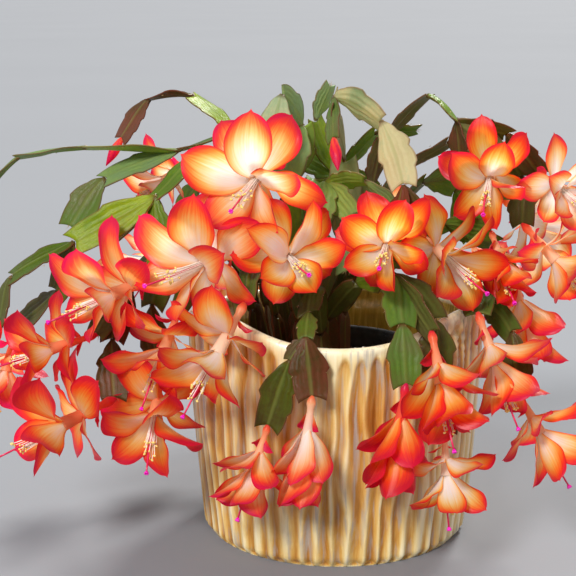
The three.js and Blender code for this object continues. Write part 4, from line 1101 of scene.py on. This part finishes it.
# %% Looks of single segments
SEGMENT_LOOKS = {
    ("stem_left_far", 0, 5): (0.15, 0.5),
    ("stem_left_far", 0, 6): (0.3, 0.4),
    ("stem_left_far", 1, 0): (0.3, 0.6),
    ("stem_left_far", 1, 1): (0.5, 0.15),
    ("stem_left_far", 2, 0): (0.12, 0.1),
    ("stem_left_front", 0, 5): (0.12, 0.0),
    ("stem_left_front", 0, 6): (0.5, 0.0),
    ("stem_left_front", 0, 7): (0.6, 0.1),
    ("stem_left_front", 2, 0): (0.1, 0.0),
    ("stem_front_a", 0, 4): (0.3, 1.0),
    ("stem_front_a", 0, 5): (0.45, 1.5),
    ("stem_centre", 0, 3): (0.55, 0.05),
    ("stem_centre", 0, 4): (0.9, 0.0),
    ("stem_centre", 1, 0): (0.78, 0.1),
    ("stem_centre", 1, 1): (0.68, 0.0),
    ("stem_pale_right", 0, 4): (0.5, 1.2),
    ("stem_pale_right", 0, 5): (0.62, 1.6),
    ("stem_pale_right", 0, 6): (1.0, 0.0),
    ("stem_right_arch", 0, 5): (0.3, 0.2),
    ("stem_right_arch", 0, 7): (0.72, 0.0),
    ("stem_crown", 1, 1): (0.2, 1.2),
}
print("Segments with a look of their own:", len(SEGMENT_LOOKS))

# %% Stems
WOODY_SEGMENTS = 2
WOODY_TONES = (0.85, 0.62)
STUB_RADIUS = 3.4
STUB_SIDES = 14


def grow_stem(name, number):
    """All the segments of one stem as one piece, and the corky foot that stands in the mix."""
    x, y = STEMS[name][0][0][:2]
    foot = tube([(x, y, SOIL_TOP - 6), (x, y, SOIL_TOP), (x + 0.2, y, SOIL_TOP + 5), (x, y, SOIL_TOP + 11)],
                [STUB_RADIUS, STUB_RADIUS, STUB_RADIUS * 0.85, STUB_RADIUS * 0.6], STUB_SIDES)
    sheets = [sheet(foot, 0, True, along=0.02, across=0.5, tone=0.9, wax=0.05)]
    for which, (run, (foot_tone, tip_tone, wax)) in enumerate(zip(STEMS[name], RUN_LOOKS[name])):
        segments = frames_of(run)
        for index, segment in enumerate(segments):
            seed = number * 31 + which * 7 + index
            old = which == 0 and index < WOODY_SEGMENTS
            share = index / max(1, len(segments) - 1)
            tone = foot_tone + (tip_tone - foot_tone) * share + 0.07 * wobble(seed + 0.4)
            tone = WOODY_TONES[index] if old else tone
            look = SEGMENT_LOOKS.get((name, which, index), (tone, wax * (0.8 + 0.3 * wobble(seed + 0.6))))
            sheets += segment_sheets(segment, seed, *look, old)
    return make_piece(name + "_grown", sheets, [skin_finish, bristle_finish], [name])


faces = [len(grow_stem(name, number).data.polygons) for number, name in enumerate(STEMS)]
print("Stem faces:", sum(faces))

# %% [markdown]
# A bloom grows from the notch of a last segment: a small green ovary, a long tube, and then petals in
# layers. A few short tepals turn back near the foot of the tube, a middle tier spreads wide, and the last
# tier stands forward round the mouth. A bundle of white stamens and one deep pink style with a magenta stigma
# reach far out of it. The plan gives the stem and run whose tip each bloom grows from, the way it points, its
# size and how far its petals spread.

# %% Plan of the blooms
def bloom_plan(stem, run, axis, size, spread=1.0, roll=0, stamens=True, tepals=False,
               warmth=0.5, redness=0.0):
    """Where a bloom grows and points, its size, how far it has opened, and how it is coloured."""
    return {"stem": stem, "run": run, "axis": axis, "size": size, "spread": spread, "roll": roll,
            "stamens": stamens, "tepals": tepals, "warmth": warmth, "redness": redness}


BLOOMS = {
    "bloom_a": bloom_plan("stem_front_a", 0, (-0.25, -0.9, -0.2), 1.15, roll=90, warmth=0.6, redness=0.03),
    "bloom_b": bloom_plan("stem_front_b", 0, (-0.65, -0.75, -0.1), 1.15, warmth=0.55, redness=0.02),
    "bloom_c": bloom_plan("stem_front_b", 1, (0.25, -0.9, -0.05), 0.95, 0.95, warmth=0.95),
    "bloom_d": bloom_plan("stem_left_front", 3, (-0.8, -0.5, -0.25), 1.05, 0.9, warmth=0.55, redness=0.16),
    "bloom_e1": bloom_plan("stem_front_c", 0, (-0.32, -0.47, -0.8), 0.93, warmth=0.8, redness=0.14),
    "bloom_e2": bloom_plan("stem_front_c", 1, (-0.45, -0.45, -0.75), 1.05,
                           tepals=True, warmth=0.8, redness=0.03),
    "bloom_g": bloom_plan("stem_left_low", 1, (-0.85, -0.35, -0.2), 0.9, 0.9, warmth=0.8, redness=0.22),
    "bloom_h": bloom_plan("stem_left_low", 0, (-0.8, -0.45, -0.3), 1.1, warmth=0.75, redness=0.22),
    "bloom_i": bloom_plan("stem_left_front", 1, (-0.2, -0.35, -0.9), 0.85, 0.9, warmth=0.4, redness=0.2),
    "bloom_j": bloom_plan("stem_left_low", 2, (-0.05, -0.85, -0.55), 1.05, 0.9, warmth=0.8, redness=0.18),
    "bloom_l": bloom_plan("stem_left_far", 3, (-0.75, -0.35, -0.5), 0.75, 0.8, warmth=0.4, redness=0.05),
    "bloom_m": bloom_plan("stem_left_front", 2, (-0.3, -0.2, -0.9), 0.65, 0.3,
                          stamens=False, tepals=True, warmth=0.3, redness=0.15),
    "bloom_n1": bloom_plan("stem_right_arch", 2, (-0.2, -0.85, -0.43), 0.9, warmth=0.85, redness=0.08),
    "bloom_n2": bloom_plan("stem_right_arch", 1, (0.4, -0.85, -0.3), 0.85, 0.9, warmth=0.5, redness=0.02),
    "bloom_o": bloom_plan("stem_inner", 2, (0.5, -0.76, -0.36), 0.98, 0.95, warmth=1.0, redness=0.07),
    "bloom_p": bloom_plan("stem_pale_right", 0, (-0.16, -0.95, -0.15), 0.86, 0.95, warmth=1.0, redness=0.08),
    "bloom_q": bloom_plan("stem_right_mid", 0, (0.15, -0.8, -0.6), 0.8, 0.4, warmth=0.9, redness=0.08),
    "bloom_q2": bloom_plan("stem_right_back", 0, (0.6, -0.45, -0.65), 1, 0.9, warmth=0.7, redness=0.1),
    "bloom_r": bloom_plan("stem_right_mid", 1, (0.15, -0.25, -0.92), 0.95, 0.55,
                          tepals=True, warmth=0.7, redness=0.1),
    "bloom_s": bloom_plan("stem_front_right", 1, (0.15, -0.55, -0.85), 1, 0.55,
                          tepals=True, warmth=0.95, redness=0.14),
    "bloom_s2": bloom_plan("stem_shoulder", 0, (0.3, -0.35, -0.85), 1, 0.7,
                           tepals=True, warmth=0.6, redness=0.08),
    "bloom_t": bloom_plan("stem_shoulder", 1, (0.45, -0.3, -0.8), 0.9, 0.8,
                          tepals=True, warmth=0.7, redness=0.1),
    "bloom_u": bloom_plan("stem_front_right", 0, (-0.15, -0.1, -0.98), 0.95, 0.4,
                          stamens=False, tepals=True, warmth=0.8, redness=0.3),
    "bloom_v": bloom_plan("stem_front_right", 2, (0.05, -0.2, -0.95), 0.8, 0.9, tepals=True, warmth=0.8),
    "bloom_x": bloom_plan("stem_centre", 0, (-0.12, -0.15, -0.97), 0.95, 0.3,
                          stamens=False, tepals=True, warmth=0.35, redness=-0.04),
    "bloom_y": bloom_plan("stem_centre", 1, (-0.3, -0.2, -0.9), 0.8, 0.6,
                          tepals=True, warmth=0.4, redness=0.08),
    "bloom_back_1": bloom_plan("stem_back_left", 0, (-0.5, 0.3, -0.8), 1, 0.9),
    "bloom_back_2": bloom_plan("stem_back_left", 1, (-0.3, 0.4, -0.9), 1, 0.9),
    "bloom_back_3": bloom_plan("stem_back_mid", 0, (0, 0.4, -0.9), 1, 0.8),
    "bloom_back_4": bloom_plan("stem_back_mid", 1, (0.2, 0.6, -0.7), 1, 0.9),
    "bloom_back_5": bloom_plan("stem_back_right", 0, (0.2, 0.4, -0.9), 1, 0.8),
    "bloom_back_6": bloom_plan("stem_back_right", 1, (0.7, 0.2, -0.6), 1, 0.9),
}
BUDS = {
    "bud_left": bloom_plan("stem_left_far", 2, (-0.5, -0.1, -0.85), 0.8),
    "bud_edge": bloom_plan("stem_left_front", 0, (-0.3, -0.3, -0.9), 0.9),
    "bud_top": bloom_plan("stem_pale_right", 2, (0.1, -0.6, -0.8), 0.9),
}
print(len(BLOOMS), "blooms and", len(BUDS), "buds")

# %% Petals
TUBE_LENGTH = 34
PETAL_LENGTH = 40
PETAL_WIDTH = 24
PETAL_TILT = 13
UPPER_LONGER = 0.1
LOWER_SHORTER = 0.16
UPPER_TURNS_BACK = (16, 36)
LOWER_TURNS_IN = (10, 24)
TIP_LEAN_DRAW = 20
CUP = 0.34
RIPPLE = 0.12
CURL = 0.7
SWEEP = 0.32
CREASE = 0.25
CREASE_HALF = 0.9
PLEAT = 0.028
PLEAT_SWING = 19
TUCKED_SIDE = 0.55
WRAP = 1.7
CLOSED_TILT = 22
START_GAP = GAP + 0.05
FOOT_RADIUS_OF_BLOOM = 0.9
NEARLY_NOTHING = 1e-6
PETAL_ROWS = 22
PETAL_ACROSS = np.array([-1, -0.95, -0.86, -0.74, -0.6, -0.45, -0.3, -0.15, 0,
                         0.15, 0.3, 0.45, 0.6, 0.74, 0.86, 0.95, 1])
TIERS = {
    "foot": {"along": 0.32, "radius": 2.5, "sides": (0, 2), "length": 0.32, "width": 0.34, "lean": 60,
             "tip_lean": 110, "redness": 0.45, "upsweep": 0, "cup": 1, "twist": 26},
    "middle": {"along": 0.64, "radius": 3.4, "sides": (0, 1, 2, 3, 4), "length": 0.95, "width": 0.95,
               "lean": 66, "tip_lean": 120, "redness": 0.06, "upsweep": 0.12, "cup": 0.1, "twist": 12},
    "mouth": {"along": 1.0, "radius": 4.2, "sides": (0, 1, 2, 3, 4), "length": 1.0, "width": 1.0, "lean": 34,
              "tip_lean": 74, "redness": 0.0, "upsweep": 0.28, "cup": 1, "twist": 26},
}


def petal_outline(along):
    """Half width of a petal as a share of its greatest: narrow foot, broad round end, and a small tip."""
    wide_at = 0.57
    rising = 0.22 + 0.78 * np.sin(math.pi / 2 * np.minimum(1, along / wide_at)) ** 1.2
    past = np.clip((along - wide_at) / (0.96 - wide_at), 0, 1)
    round_end = (1 - past ** 2.1) ** 0.6
    small_tip = 0.2 * np.clip((1 - along) / 0.12, 0, 1)
    return np.where(along < wide_at, rising, np.maximum(round_end, small_tip))


def bloom_frame(plan):
    """Where a bloom starts, the way it points, and two directions across it."""
    segment = frames_of(STEMS[plan["stem"]][plan["run"]])[-1]
    axis = unit(np.array(plan["axis"], float))
    place, _, lead, _ = (value[0] for value in spots_on(segment, np.array([NOTCH_AT])))
    swing = math.sin(math.acos(np.clip(axis.dot(lead), -1, 1)))
    start = place + lead * (FOOT_RADIUS_OF_BLOOM * plan["size"] * swing + START_GAP)
    side = unit(np.cross(axis, (0, 0, 1)))
    return start, axis, side, np.cross(axis, side)


def petal(root, axis, out, tier, size, spread, seed, redness, warmth):
    """One petal as a thin cupped sheet that leaves its root outwards and bends with its length.

    Such a bloom isn't even all round: its upper petals are longer and turn further back than its lower ones,
    and the petals at its sides sweep upwards. One side of each petal lies behind the next petal and is
    flatter, so that the two don't cross. The petals of a bloom that is still closed wrap round each other.
    """
    closed = 1 - spread
    upper, lower = max(0, out[2]), max(0, -out[2])
    skyward = unit(np.array([0, 0, 1]) - axis * axis[2] + NEARLY_NOTHING)
    out = unit(out + tier["upsweep"] * (1 - upper) * skyward)
    longer = 1 + 0.1 * wobble(seed + 0.3) + UPPER_LONGER * upper - LOWER_SHORTER * lower
    wider = 1 + 0.06 * wobble(seed + 0.6) + 0.05 * upper
    length = PETAL_LENGTH * tier["length"] * size * longer
    width = PETAL_WIDTH * tier["width"] * size * wider
    lean = tier["lean"] + UPPER_TURNS_BACK[0] * upper - LOWER_TURNS_IN[0] * lower
    tip_lean = tier["tip_lean"] + TIP_LEAN_DRAW * wobble(seed + 0.9)
    tip_lean = tip_lean + UPPER_TURNS_BACK[1] * upper - LOWER_TURNS_IN[1] * lower
    lean, tip_lean = lean * spread, tip_lean * spread

    # The curve of the midrib: short straight steps that lean more and more. The rows lie closer at the tip.
    even = np.linspace(0, 1, PETAL_ROWS)
    along = 0.4 * even + 0.6 * np.sin(math.pi / 2 * even)
    step = (along[1:] + along[:-1]) / 2
    across = np.cross(axis, out)
    angle = np.radians(lean + (tip_lean - lean) * step)[:, None]
    sweep = SWEEP * wobble(seed + 3.7) * spread
    moves = unit(axis * np.cos(angle) + out * np.sin(angle) + across * sweep * step[:, None])
    moves = moves * length * np.diff(along)[:, None]
    path = root + np.concatenate([np.zeros((1, 3)), np.cumsum(moves, 0)])

    # The direction across the petal at each row, which tilts and twists with the length.
    along = along[:, None]
    angle = np.radians(lean + (tip_lean - lean) * along)
    leads = axis * np.cos(angle) + out * np.sin(angle)
    twist = tier["twist"] * wobble(seed + 2.9) * along * spread
    tilt = np.radians(PETAL_TILT + CLOSED_TILT * closed + 4 * wobble(seed + 1.3) + twist)
    aside = across * np.cos(tilt) + np.cross(leads, across) * np.sin(tilt)
    up = np.cross(leads, aside)

    # The cross section of each row: a cup with a rippled rim, one curled side, pleats and a crease.
    half = width / 2 * petal_outline(along)
    over = half * PETAL_ACROSS
    cup = CUP * (tier["cup"] * (1.1 + 0.7 * wobble(seed + 1.7)) + WRAP * closed) * (1 - 0.35 * along ** 2)
    tucked = np.where(PETAL_ACROSS < 0, TUCKED_SIDE + 0.5 * closed, 1)
    ripple = RIPPLE * np.sin(2 * math.pi * (1.7 + 0.4 * wobble(seed)) * along + 3 * wobble(seed + 2.1))
    curl = CURL * max(0, wobble(seed + 4.3)) * along ** 1.5
    pleats = PLEAT * np.cos(PLEAT_SWING * PETAL_ACROSS + 3 * wobble(seed + 5.1)) * np.sin(math.pi * along)
    lift = half * (cup * tucked * np.abs(PETAL_ACROSS) ** 1.7 + ripple * PETAL_ACROSS ** 3 + pleats
                   + curl * np.maximum(0, PETAL_ACROSS) ** 3)
    crease = CREASE * np.exp(-(over / CREASE_HALF) ** 2) * np.sin(math.pi * along)
    grid = path[:, None] + aside[:, None] * over[..., None] + up[:, None] * (lift - crease)[..., None]
    return sheet(grid, 0, False, along=along, across=PETAL_ACROSS[None, :], redness=redness,
                 warmth=warmth, draw=seed % 97 / 97)


print("A petal has", PETAL_ROWS, "by", len(PETAL_ACROSS), "points")

# %% [markdown]
# The stamens of such a cactus leave the mouth as a loose bundle that bows forward and sags a little. Each is
# a thin tube with an egg of pollen across its tip. The style is thicker and longer, and ends in a star of
# six short lobes, the stigma. Threads this thin could be drawn on a card, but as tubes they catch the light.

# %% Stamens and style
FILAMENTS = 22
GOLDEN_TURN = 2.4
BUNDLE_START = 0.8
FILAMENT_REACH = (1.72, 0.22)
BUNDLE_RADII = (0.6, 2.1)
BUNDLE_OPENS = 1.6
FILAMENT_FALL = 3.2
FILAMENT_RADII = (0.34, 0.24)
ANTHER = (2.2, 0.75)
STYLE_LENGTH = 1.42
STYLE_FALL = 4.5
STYLE_RADII = (0.75, 0.6)
STIGMA_LOBES = 6
STIGMA_LOBE = (3.4, 0.75)
DOWN = np.array([0, 0, -1.0])


def egg(centre, way, length, radius):
    """A small egg along a direction."""
    steps = np.linspace(0, math.pi, 6)[1:-1]
    path = [centre - way * math.cos(step) * length / 2 for step in steps]
    return tube(path, [radius * math.sin(step) for step in steps], 6)


def bundle(start, axis, side, over, size, seed):
    """The stamens in a loose bundle, their anthers, and the longer style with its lobed stigma."""
    sheets = []
    mouth = TUBE_LENGTH * size
    share = np.linspace(0, 1, 7)[:, None]
    for index in range(FILAMENTS):
        turn = GOLDEN_TURN * index
        away = BUNDLE_RADII[0] + (BUNDLE_RADII[1] - BUNDLE_RADII[0]) * math.sqrt((index + 0.5) / FILAMENTS)
        out = side * math.cos(turn) + over * math.sin(turn)
        reach = mouth * (FILAMENT_REACH[0] + FILAMENT_REACH[1] * wobble(seed + index * 1.3))
        path = (start + axis * (BUNDLE_START * mouth + (reach - BUNDLE_START * mouth) * share)
                + out * size * (away + BUNDLE_OPENS * share ** 2 * (1 + 0.5 * wobble(seed + index)))
                + DOWN * size * FILAMENT_FALL * share ** 2 * (1 - 0.8 * share))
        filament = tube(path, np.linspace(*FILAMENT_RADII, 7), 3)
        tip_way = unit(out + axis * 0.4 + DOWN * 0.2 * wobble(seed + index + 5))
        sheets.append(sheet(filament, 1, True))
        sheets.append(sheet(egg(path[-1], tip_way, *ANTHER), 2, True))
    share = np.linspace(0, 1, 9)[:, None]
    style = (start + axis * mouth * (BUNDLE_START + STYLE_LENGTH * share)
             + DOWN * size * STYLE_FALL * share ** 2 * (1 - 0.8 * share) + side * 0.8 * np.sin(3 * share))
    style_tube = tube(style, np.linspace(*STYLE_RADII, 9), 8)
    sheets.append(sheet(style_tube, 3, True, along=np.linspace(0, 0.8, 11)[:, None]))
    head_way = unit(style[-1] - style[-2])
    for turn in ring_of(STIGMA_LOBES):
        out = side * math.cos(turn) + over * math.sin(turn)
        place = style[-1] + out * 0.62 + head_way * 0.9
        sheets.append(sheet(egg(place, unit(head_way + out * 0.5), *STIGMA_LOBE), 3, True, along=1.0))
    return sheets


print("Stamens of an open bloom:", FILAMENTS)

# %% [markdown]
# A petal is a living skin with a few layers of clear, coloured cells under it: satin, not glossy, and lit
# from behind it glows. The colour is laid down from the foot to the tip: almost white in the throat, peach
# and orange in the middle, and red to crimson at the edge and the tip. Fine veins run lengthwise, about a
# millimetre apart. The material reads two numbers, along and across the petal, and mixes a reflecting skin
# with a translucent one, so that the same petal is pale where light falls on it and fiery where it falls
# through.

# %% Petal skin
VEINS_ACROSS = 11
VEINS_ALONG = 1.4
PETALS_APART = 50
LIT_THROUGH_PETAL = 0.55


def petal_skin():
    finish, tree = new_finish("living_petal_skin")
    along = add_node(tree, "Attribute", attribute_name="along").outputs["Fac"]
    across = add_node(tree, "Attribute", attribute_name="across").outputs["Fac"]
    redness = add_node(tree, "Attribute", attribute_name="redness").outputs["Fac"]
    warmth = add_node(tree, "Attribute", attribute_name="warmth").outputs["Fac"]
    draw_of = add_node(tree, "Attribute", attribute_name="draw").outputs["Fac"]
    stretched = add_node(tree, "Math", {0: across, 1: float(VEINS_ACROSS)}, operation="MULTIPLY")
    length_way = add_node(tree, "Math", {0: along, 1: VEINS_ALONG}, operation="MULTIPLY")
    apart = add_node(tree, "Math", {0: draw_of, 1: PETALS_APART}, operation="MULTIPLY")
    on_petal = add_node(tree, "CombineXYZ", {
        0: stretched.outputs[0], 1: length_way.outputs[0], 2: apart.outputs[0]})
    veins = add_node(tree, "TexNoise", {
        "Vector": on_petal.outputs[0], "Scale": 1.0, "Detail": 4.0, "Roughness": 0.6})
    out = add_node(tree, "Math", {0: across}, operation="ABSOLUTE")
    out_soft = add_node(tree, "Math", {0: out.outputs[0], 1: 2.2}, operation="POWER")
    later = add_node(tree, "Math", {0: along, 1: 1.9}, operation="POWER")
    lengthwise = add_node(tree, "Math", {0: later.outputs[0], 1: 0.72, 2: redness}, operation="MULTIPLY_ADD")
    outward = add_node(tree, "Math", {0: out_soft.outputs[0], 1: 0.4, 2: lengthwise.outputs[0]},
                       operation="MULTIPLY_ADD")
    veined = add_node(tree, "Math", {0: veins.outputs["Fac"], 1: 0.3, 2: outward.outputs[0]},
                      operation="MULTIPLY_ADD")
    level = add_node(tree, "Math", {0: veined.outputs[0], 1: 0.06}, operation="SUBTRACT")
    orange = add_node(tree, "ValToRGB", {"Fac": level.outputs[0]}, [
        (0.12, "ffffff"), (0.24, "fff5de"), (0.35, "ffe3a0"), (0.47, "ffc252"), (0.6, "ff8a22"),
        (0.75, "fb4414"), (0.95, "de1828")])
    pink = add_node(tree, "ValToRGB", {"Fac": level.outputs[0]}, [
        (0.12, "ffffff"), (0.24, "fff6f0"), (0.35, "ffe6ce"), (0.47, "ffc596"), (0.6, "ff8052"),
        (0.75, "f63a48"), (0.95, "e41866")])
    colour = add_node(tree, "Mix", {0: warmth, 6: pink.outputs["Color"], 7: orange.outputs["Color"]},
                      data_type="RGBA")
    rim = add_node(tree, "MapRange", {
        "Value": out.outputs[0], "From Min": 0.91, "From Max": 1.0, "To Min": 0.0, "To Max": 0.8})
    rimmed = add_node(tree, "Mix", {0: rim.outputs[0], 6: colour.outputs[2], 7: linear("d8142c")},
                      data_type="RGBA")
    relief = add_node(tree, "Bump", {"Height": veins.outputs["Fac"], "Strength": 0.4, "Distance": 0.0005})
    skin = add_node(tree, "BsdfPrincipled", {
        "Base Color": rimmed.outputs[2], "Roughness": 0.33, "IOR": 1.4, "Sheen Weight": 0.1,
        "Normal": relief.outputs["Normal"]})
    glow = add_node(tree, "BsdfTranslucent", {"Color": rimmed.outputs[2]})
    petal_mix = add_node(tree, "MixShader", {
        0: LIT_THROUGH_PETAL, 1: skin.outputs["BSDF"], 2: glow.outputs["BSDF"]})
    finish_with(tree, petal_mix.outputs["Shader"])
    return finish


petal_finish = petal_skin()
print("Petal skin nodes:", len(petal_finish.node_tree.nodes))

# %% [markdown]
# The filaments are white, watery threads and the anthers are dusted with cream pollen, so both are matt and
# pale. The style is smooth and deep pink, and darkens to magenta in the sticky stigma, which is the glossiest
# part of the bloom.

# %% Threads, pollen and style
THREAD_MOTTLE = 0.002
POLLEN_GRAIN = 0.0004
STYLE_MOTTLE = 0.0006


def pale_thread(name, low, high, grain, roughness):
    """A matt pale finish with a fine mottle, for filaments and pollen."""
    finish, tree = new_finish(name)
    place = add_node(tree, "TexCoord").outputs["Object"]
    mottle = add_node(tree, "TexNoise", {"Vector": place, "Scale": 1 / grain, "Detail": 3.0})
    tint = add_node(tree, "ValToRGB", {"Fac": mottle.outputs["Fac"]}, [(0.3, low), (0.7, high)])
    relief = add_node(tree, "Bump", {"Height": mottle.outputs["Fac"], "Strength": 0.5, "Distance": 0.0001})
    body = add_node(tree, "BsdfPrincipled", {
        "Base Color": tint.outputs["Color"], "Roughness": roughness, "IOR": 1.4,
        "Normal": relief.outputs["Normal"]})
    finish_with(tree, body.outputs["BSDF"])
    return finish


def style_skin():
    finish, tree = new_finish("living_style_skin")
    place = add_node(tree, "TexCoord").outputs["Object"]
    along = add_node(tree, "Attribute", attribute_name="along").outputs["Fac"]
    mottle = add_node(tree, "TexNoise", {"Vector": place, "Scale": 1 / STYLE_MOTTLE, "Detail": 3.0})
    level = add_node(tree, "Math", {0: mottle.outputs["Fac"], 1: 0.2, 2: along}, operation="MULTIPLY_ADD")
    tint = add_node(tree, "ValToRGB", {"Fac": level.outputs[0]}, [
        (0.1, "f5a9b8"), (0.5, "e0305e"), (0.9, "c8104e"), (1.0, "e815b4")])
    relief = add_node(tree, "Bump", {"Height": mottle.outputs["Fac"], "Strength": 0.4, "Distance": 0.0001})
    body = add_node(tree, "BsdfPrincipled", {
        "Base Color": tint.outputs["Color"], "Roughness": 0.3, "IOR": 1.45,
        "Normal": relief.outputs["Normal"]})
    finish_with(tree, body.outputs["BSDF"])
    return finish


bloom_finishes = [
    petal_finish,
    pale_thread("watery_filament", "f3e6dc", "fffaf2", THREAD_MOTTLE, 0.4),
    pale_thread("cream_pollen", "e4bf52", "fbe89a", POLLEN_GRAIN, 0.85),
    style_skin(),
]
print("Bloom finishes:", [finish.name for finish in bloom_finishes])

# %% [markdown]
# The tube of a bloom swells over the ovary, narrows above it and widens to the mouth, where it turns in on
# itself. Its profile gives the place along it, the radius in mm, and how far along the petals' colours its
# skin lies there. Each tier of petals is set round it half a step further on than the last, so that a petal
# stands in the gap between two others.

# %% Blooms
SIDES = 5
TUBE_COLUMNS = 20
ROOT_INSIDE = 0.8
TUBE_PROFILE = [
    (-0.03, 0, 0.7), (-0.03, 1.2, 0.7), (0.03, 2.1, 0.66), (0.09, 2.9, 0.6), (0.15, 3.0, 0.52),
    (0.22, 2.3, 0.48), (0.3, 2.2, 0.44), (0.45, 2.7, 0.38), (0.64, 3.4, 0.3), (0.84, 3.9, 0.22),
    (1.0, 4.4, 0.14), (1.04, 4.7, 0.08), (1.03, 4.4, 0.04), (0.94, 3.6, 0.02), (0.8, 2.4, 0), (0.8, 0, 0)]


def grow_bloom(name, number):
    """The tube, the petals in their tiers and the bundle of one bloom, as one piece.

    Every bloom has the small tepals at its foot. The solids have them only where the plan says so, and number
    the tiers from the first that they have, so the tiers are numbered here in the same way.
    """
    plan = BLOOMS[name]
    size = plan["size"]
    start, axis, side, over = bloom_frame(plan)
    mouth = TUBE_LENGTH * size
    turn = ring_of(TUBE_COLUMNS)[:, None]
    around = np.cos(turn) * side + np.sin(turn) * over
    rows = [start + axis * mouth * along + around * radius * size for along, radius, _ in TUBE_PROFILE]
    colours = np.array([colour for _, _, colour in TUBE_PROFILE])[:, None]
    sheets = [sheet(np.stack(rows), 0, True, along=colours, redness=0.2 + plan["redness"],
                    warmth=0.05, draw=0.3)]
    for order, tier in enumerate(TIERS.values()):
        planned = order if plan["tepals"] else order - 1
        for index in tier["sides"]:
            angle = 2 * math.pi / SIDES * (index + 0.5 * planned) + math.radians(plan["roll"])
            out = side * math.cos(angle) + over * math.sin(angle)
            root = start + axis * tier["along"] * mouth + out * tier["radius"] * size * ROOT_INSIDE
            seed = number * 17 + planned * 5 + index
            redness = plan["redness"] + tier["redness"] + 0.08 * wobble(seed + 3)
            warmth = plan["warmth"] + 0.15 * wobble(seed + 4)
            sheets.append(petal(root, axis, out, tier, size, plan["spread"], seed, redness, warmth))
    if plan["stamens"]:
        sheets += bundle(start, axis, side, over, size, number * 3.7)
    return make_piece(name + "_grown", sheets, bloom_finishes, [name])


faces = [len(grow_bloom(name, number).data.polygons) for number, name in enumerate(BLOOMS)]
print("Bloom faces:", sum(faces))

# %% [markdown]
# A bud is a closed bloom: tepals wound tightly round each other to a point. It is one spindle whose skin has
# five soft folds that turn with its length, which is how wound tepals show from outside.

# %% Buds
BUD_LENGTH = 24
BUD_COLUMNS = 30
BUD_FOLD = 0.16
BUD_TURN = 1.3
BUD_PROFILE = [
    (-0.04, 0), (-0.04, 0.9), (0.04, 1.9), (0.1, 2.6), (0.22, 3.2), (0.36, 4.0), (0.5, 4.4), (0.64, 4.2),
    (0.8, 3.2), (0.92, 2.2), (1.04, 1.2), (1.13, 0.4), (1.15, 0)]


def grow_bud(name):
    """One bud as a folded spindle, as orange at its foot as the middle of a petal, and red at its tip."""
    plan = BUDS[name]
    size = plan["size"]
    start, axis, side, over = bloom_frame(plan)
    turn = ring_of(BUD_COLUMNS)
    around = np.cos(turn)[:, None] * side + np.sin(turn)[:, None] * over
    rows = []
    folds = []
    for along, radius in BUD_PROFILE:
        wound = np.abs(np.sin(SIDES / 2 * (turn + BUD_TURN * along)))
        fold = BUD_FOLD * (1 - wound) ** 3 * math.sin(math.pi * min(1, max(0, along)))
        wavy = radius * size * (1 - fold)
        rows.append(start + axis * BUD_LENGTH * size * along + wavy[:, None] * around)
        folds.append(1 - wound)
    along = np.array([along for along, _ in BUD_PROFILE])[:, None]
    skin = sheet(np.stack(rows), 0, True, along=0.2 + 0.5 * along, across=np.stack(folds), redness=0.5,
                 warmth=0.1, draw=0.6)
    return make_piece(name + "_grown", [skin], bloom_finishes, [name])


print("Bud faces:", sum(len(grow_bud(name).data.polygons) for name in BUDS))

# %% [markdown]
# The dressed plant has to stay the size of its solids.
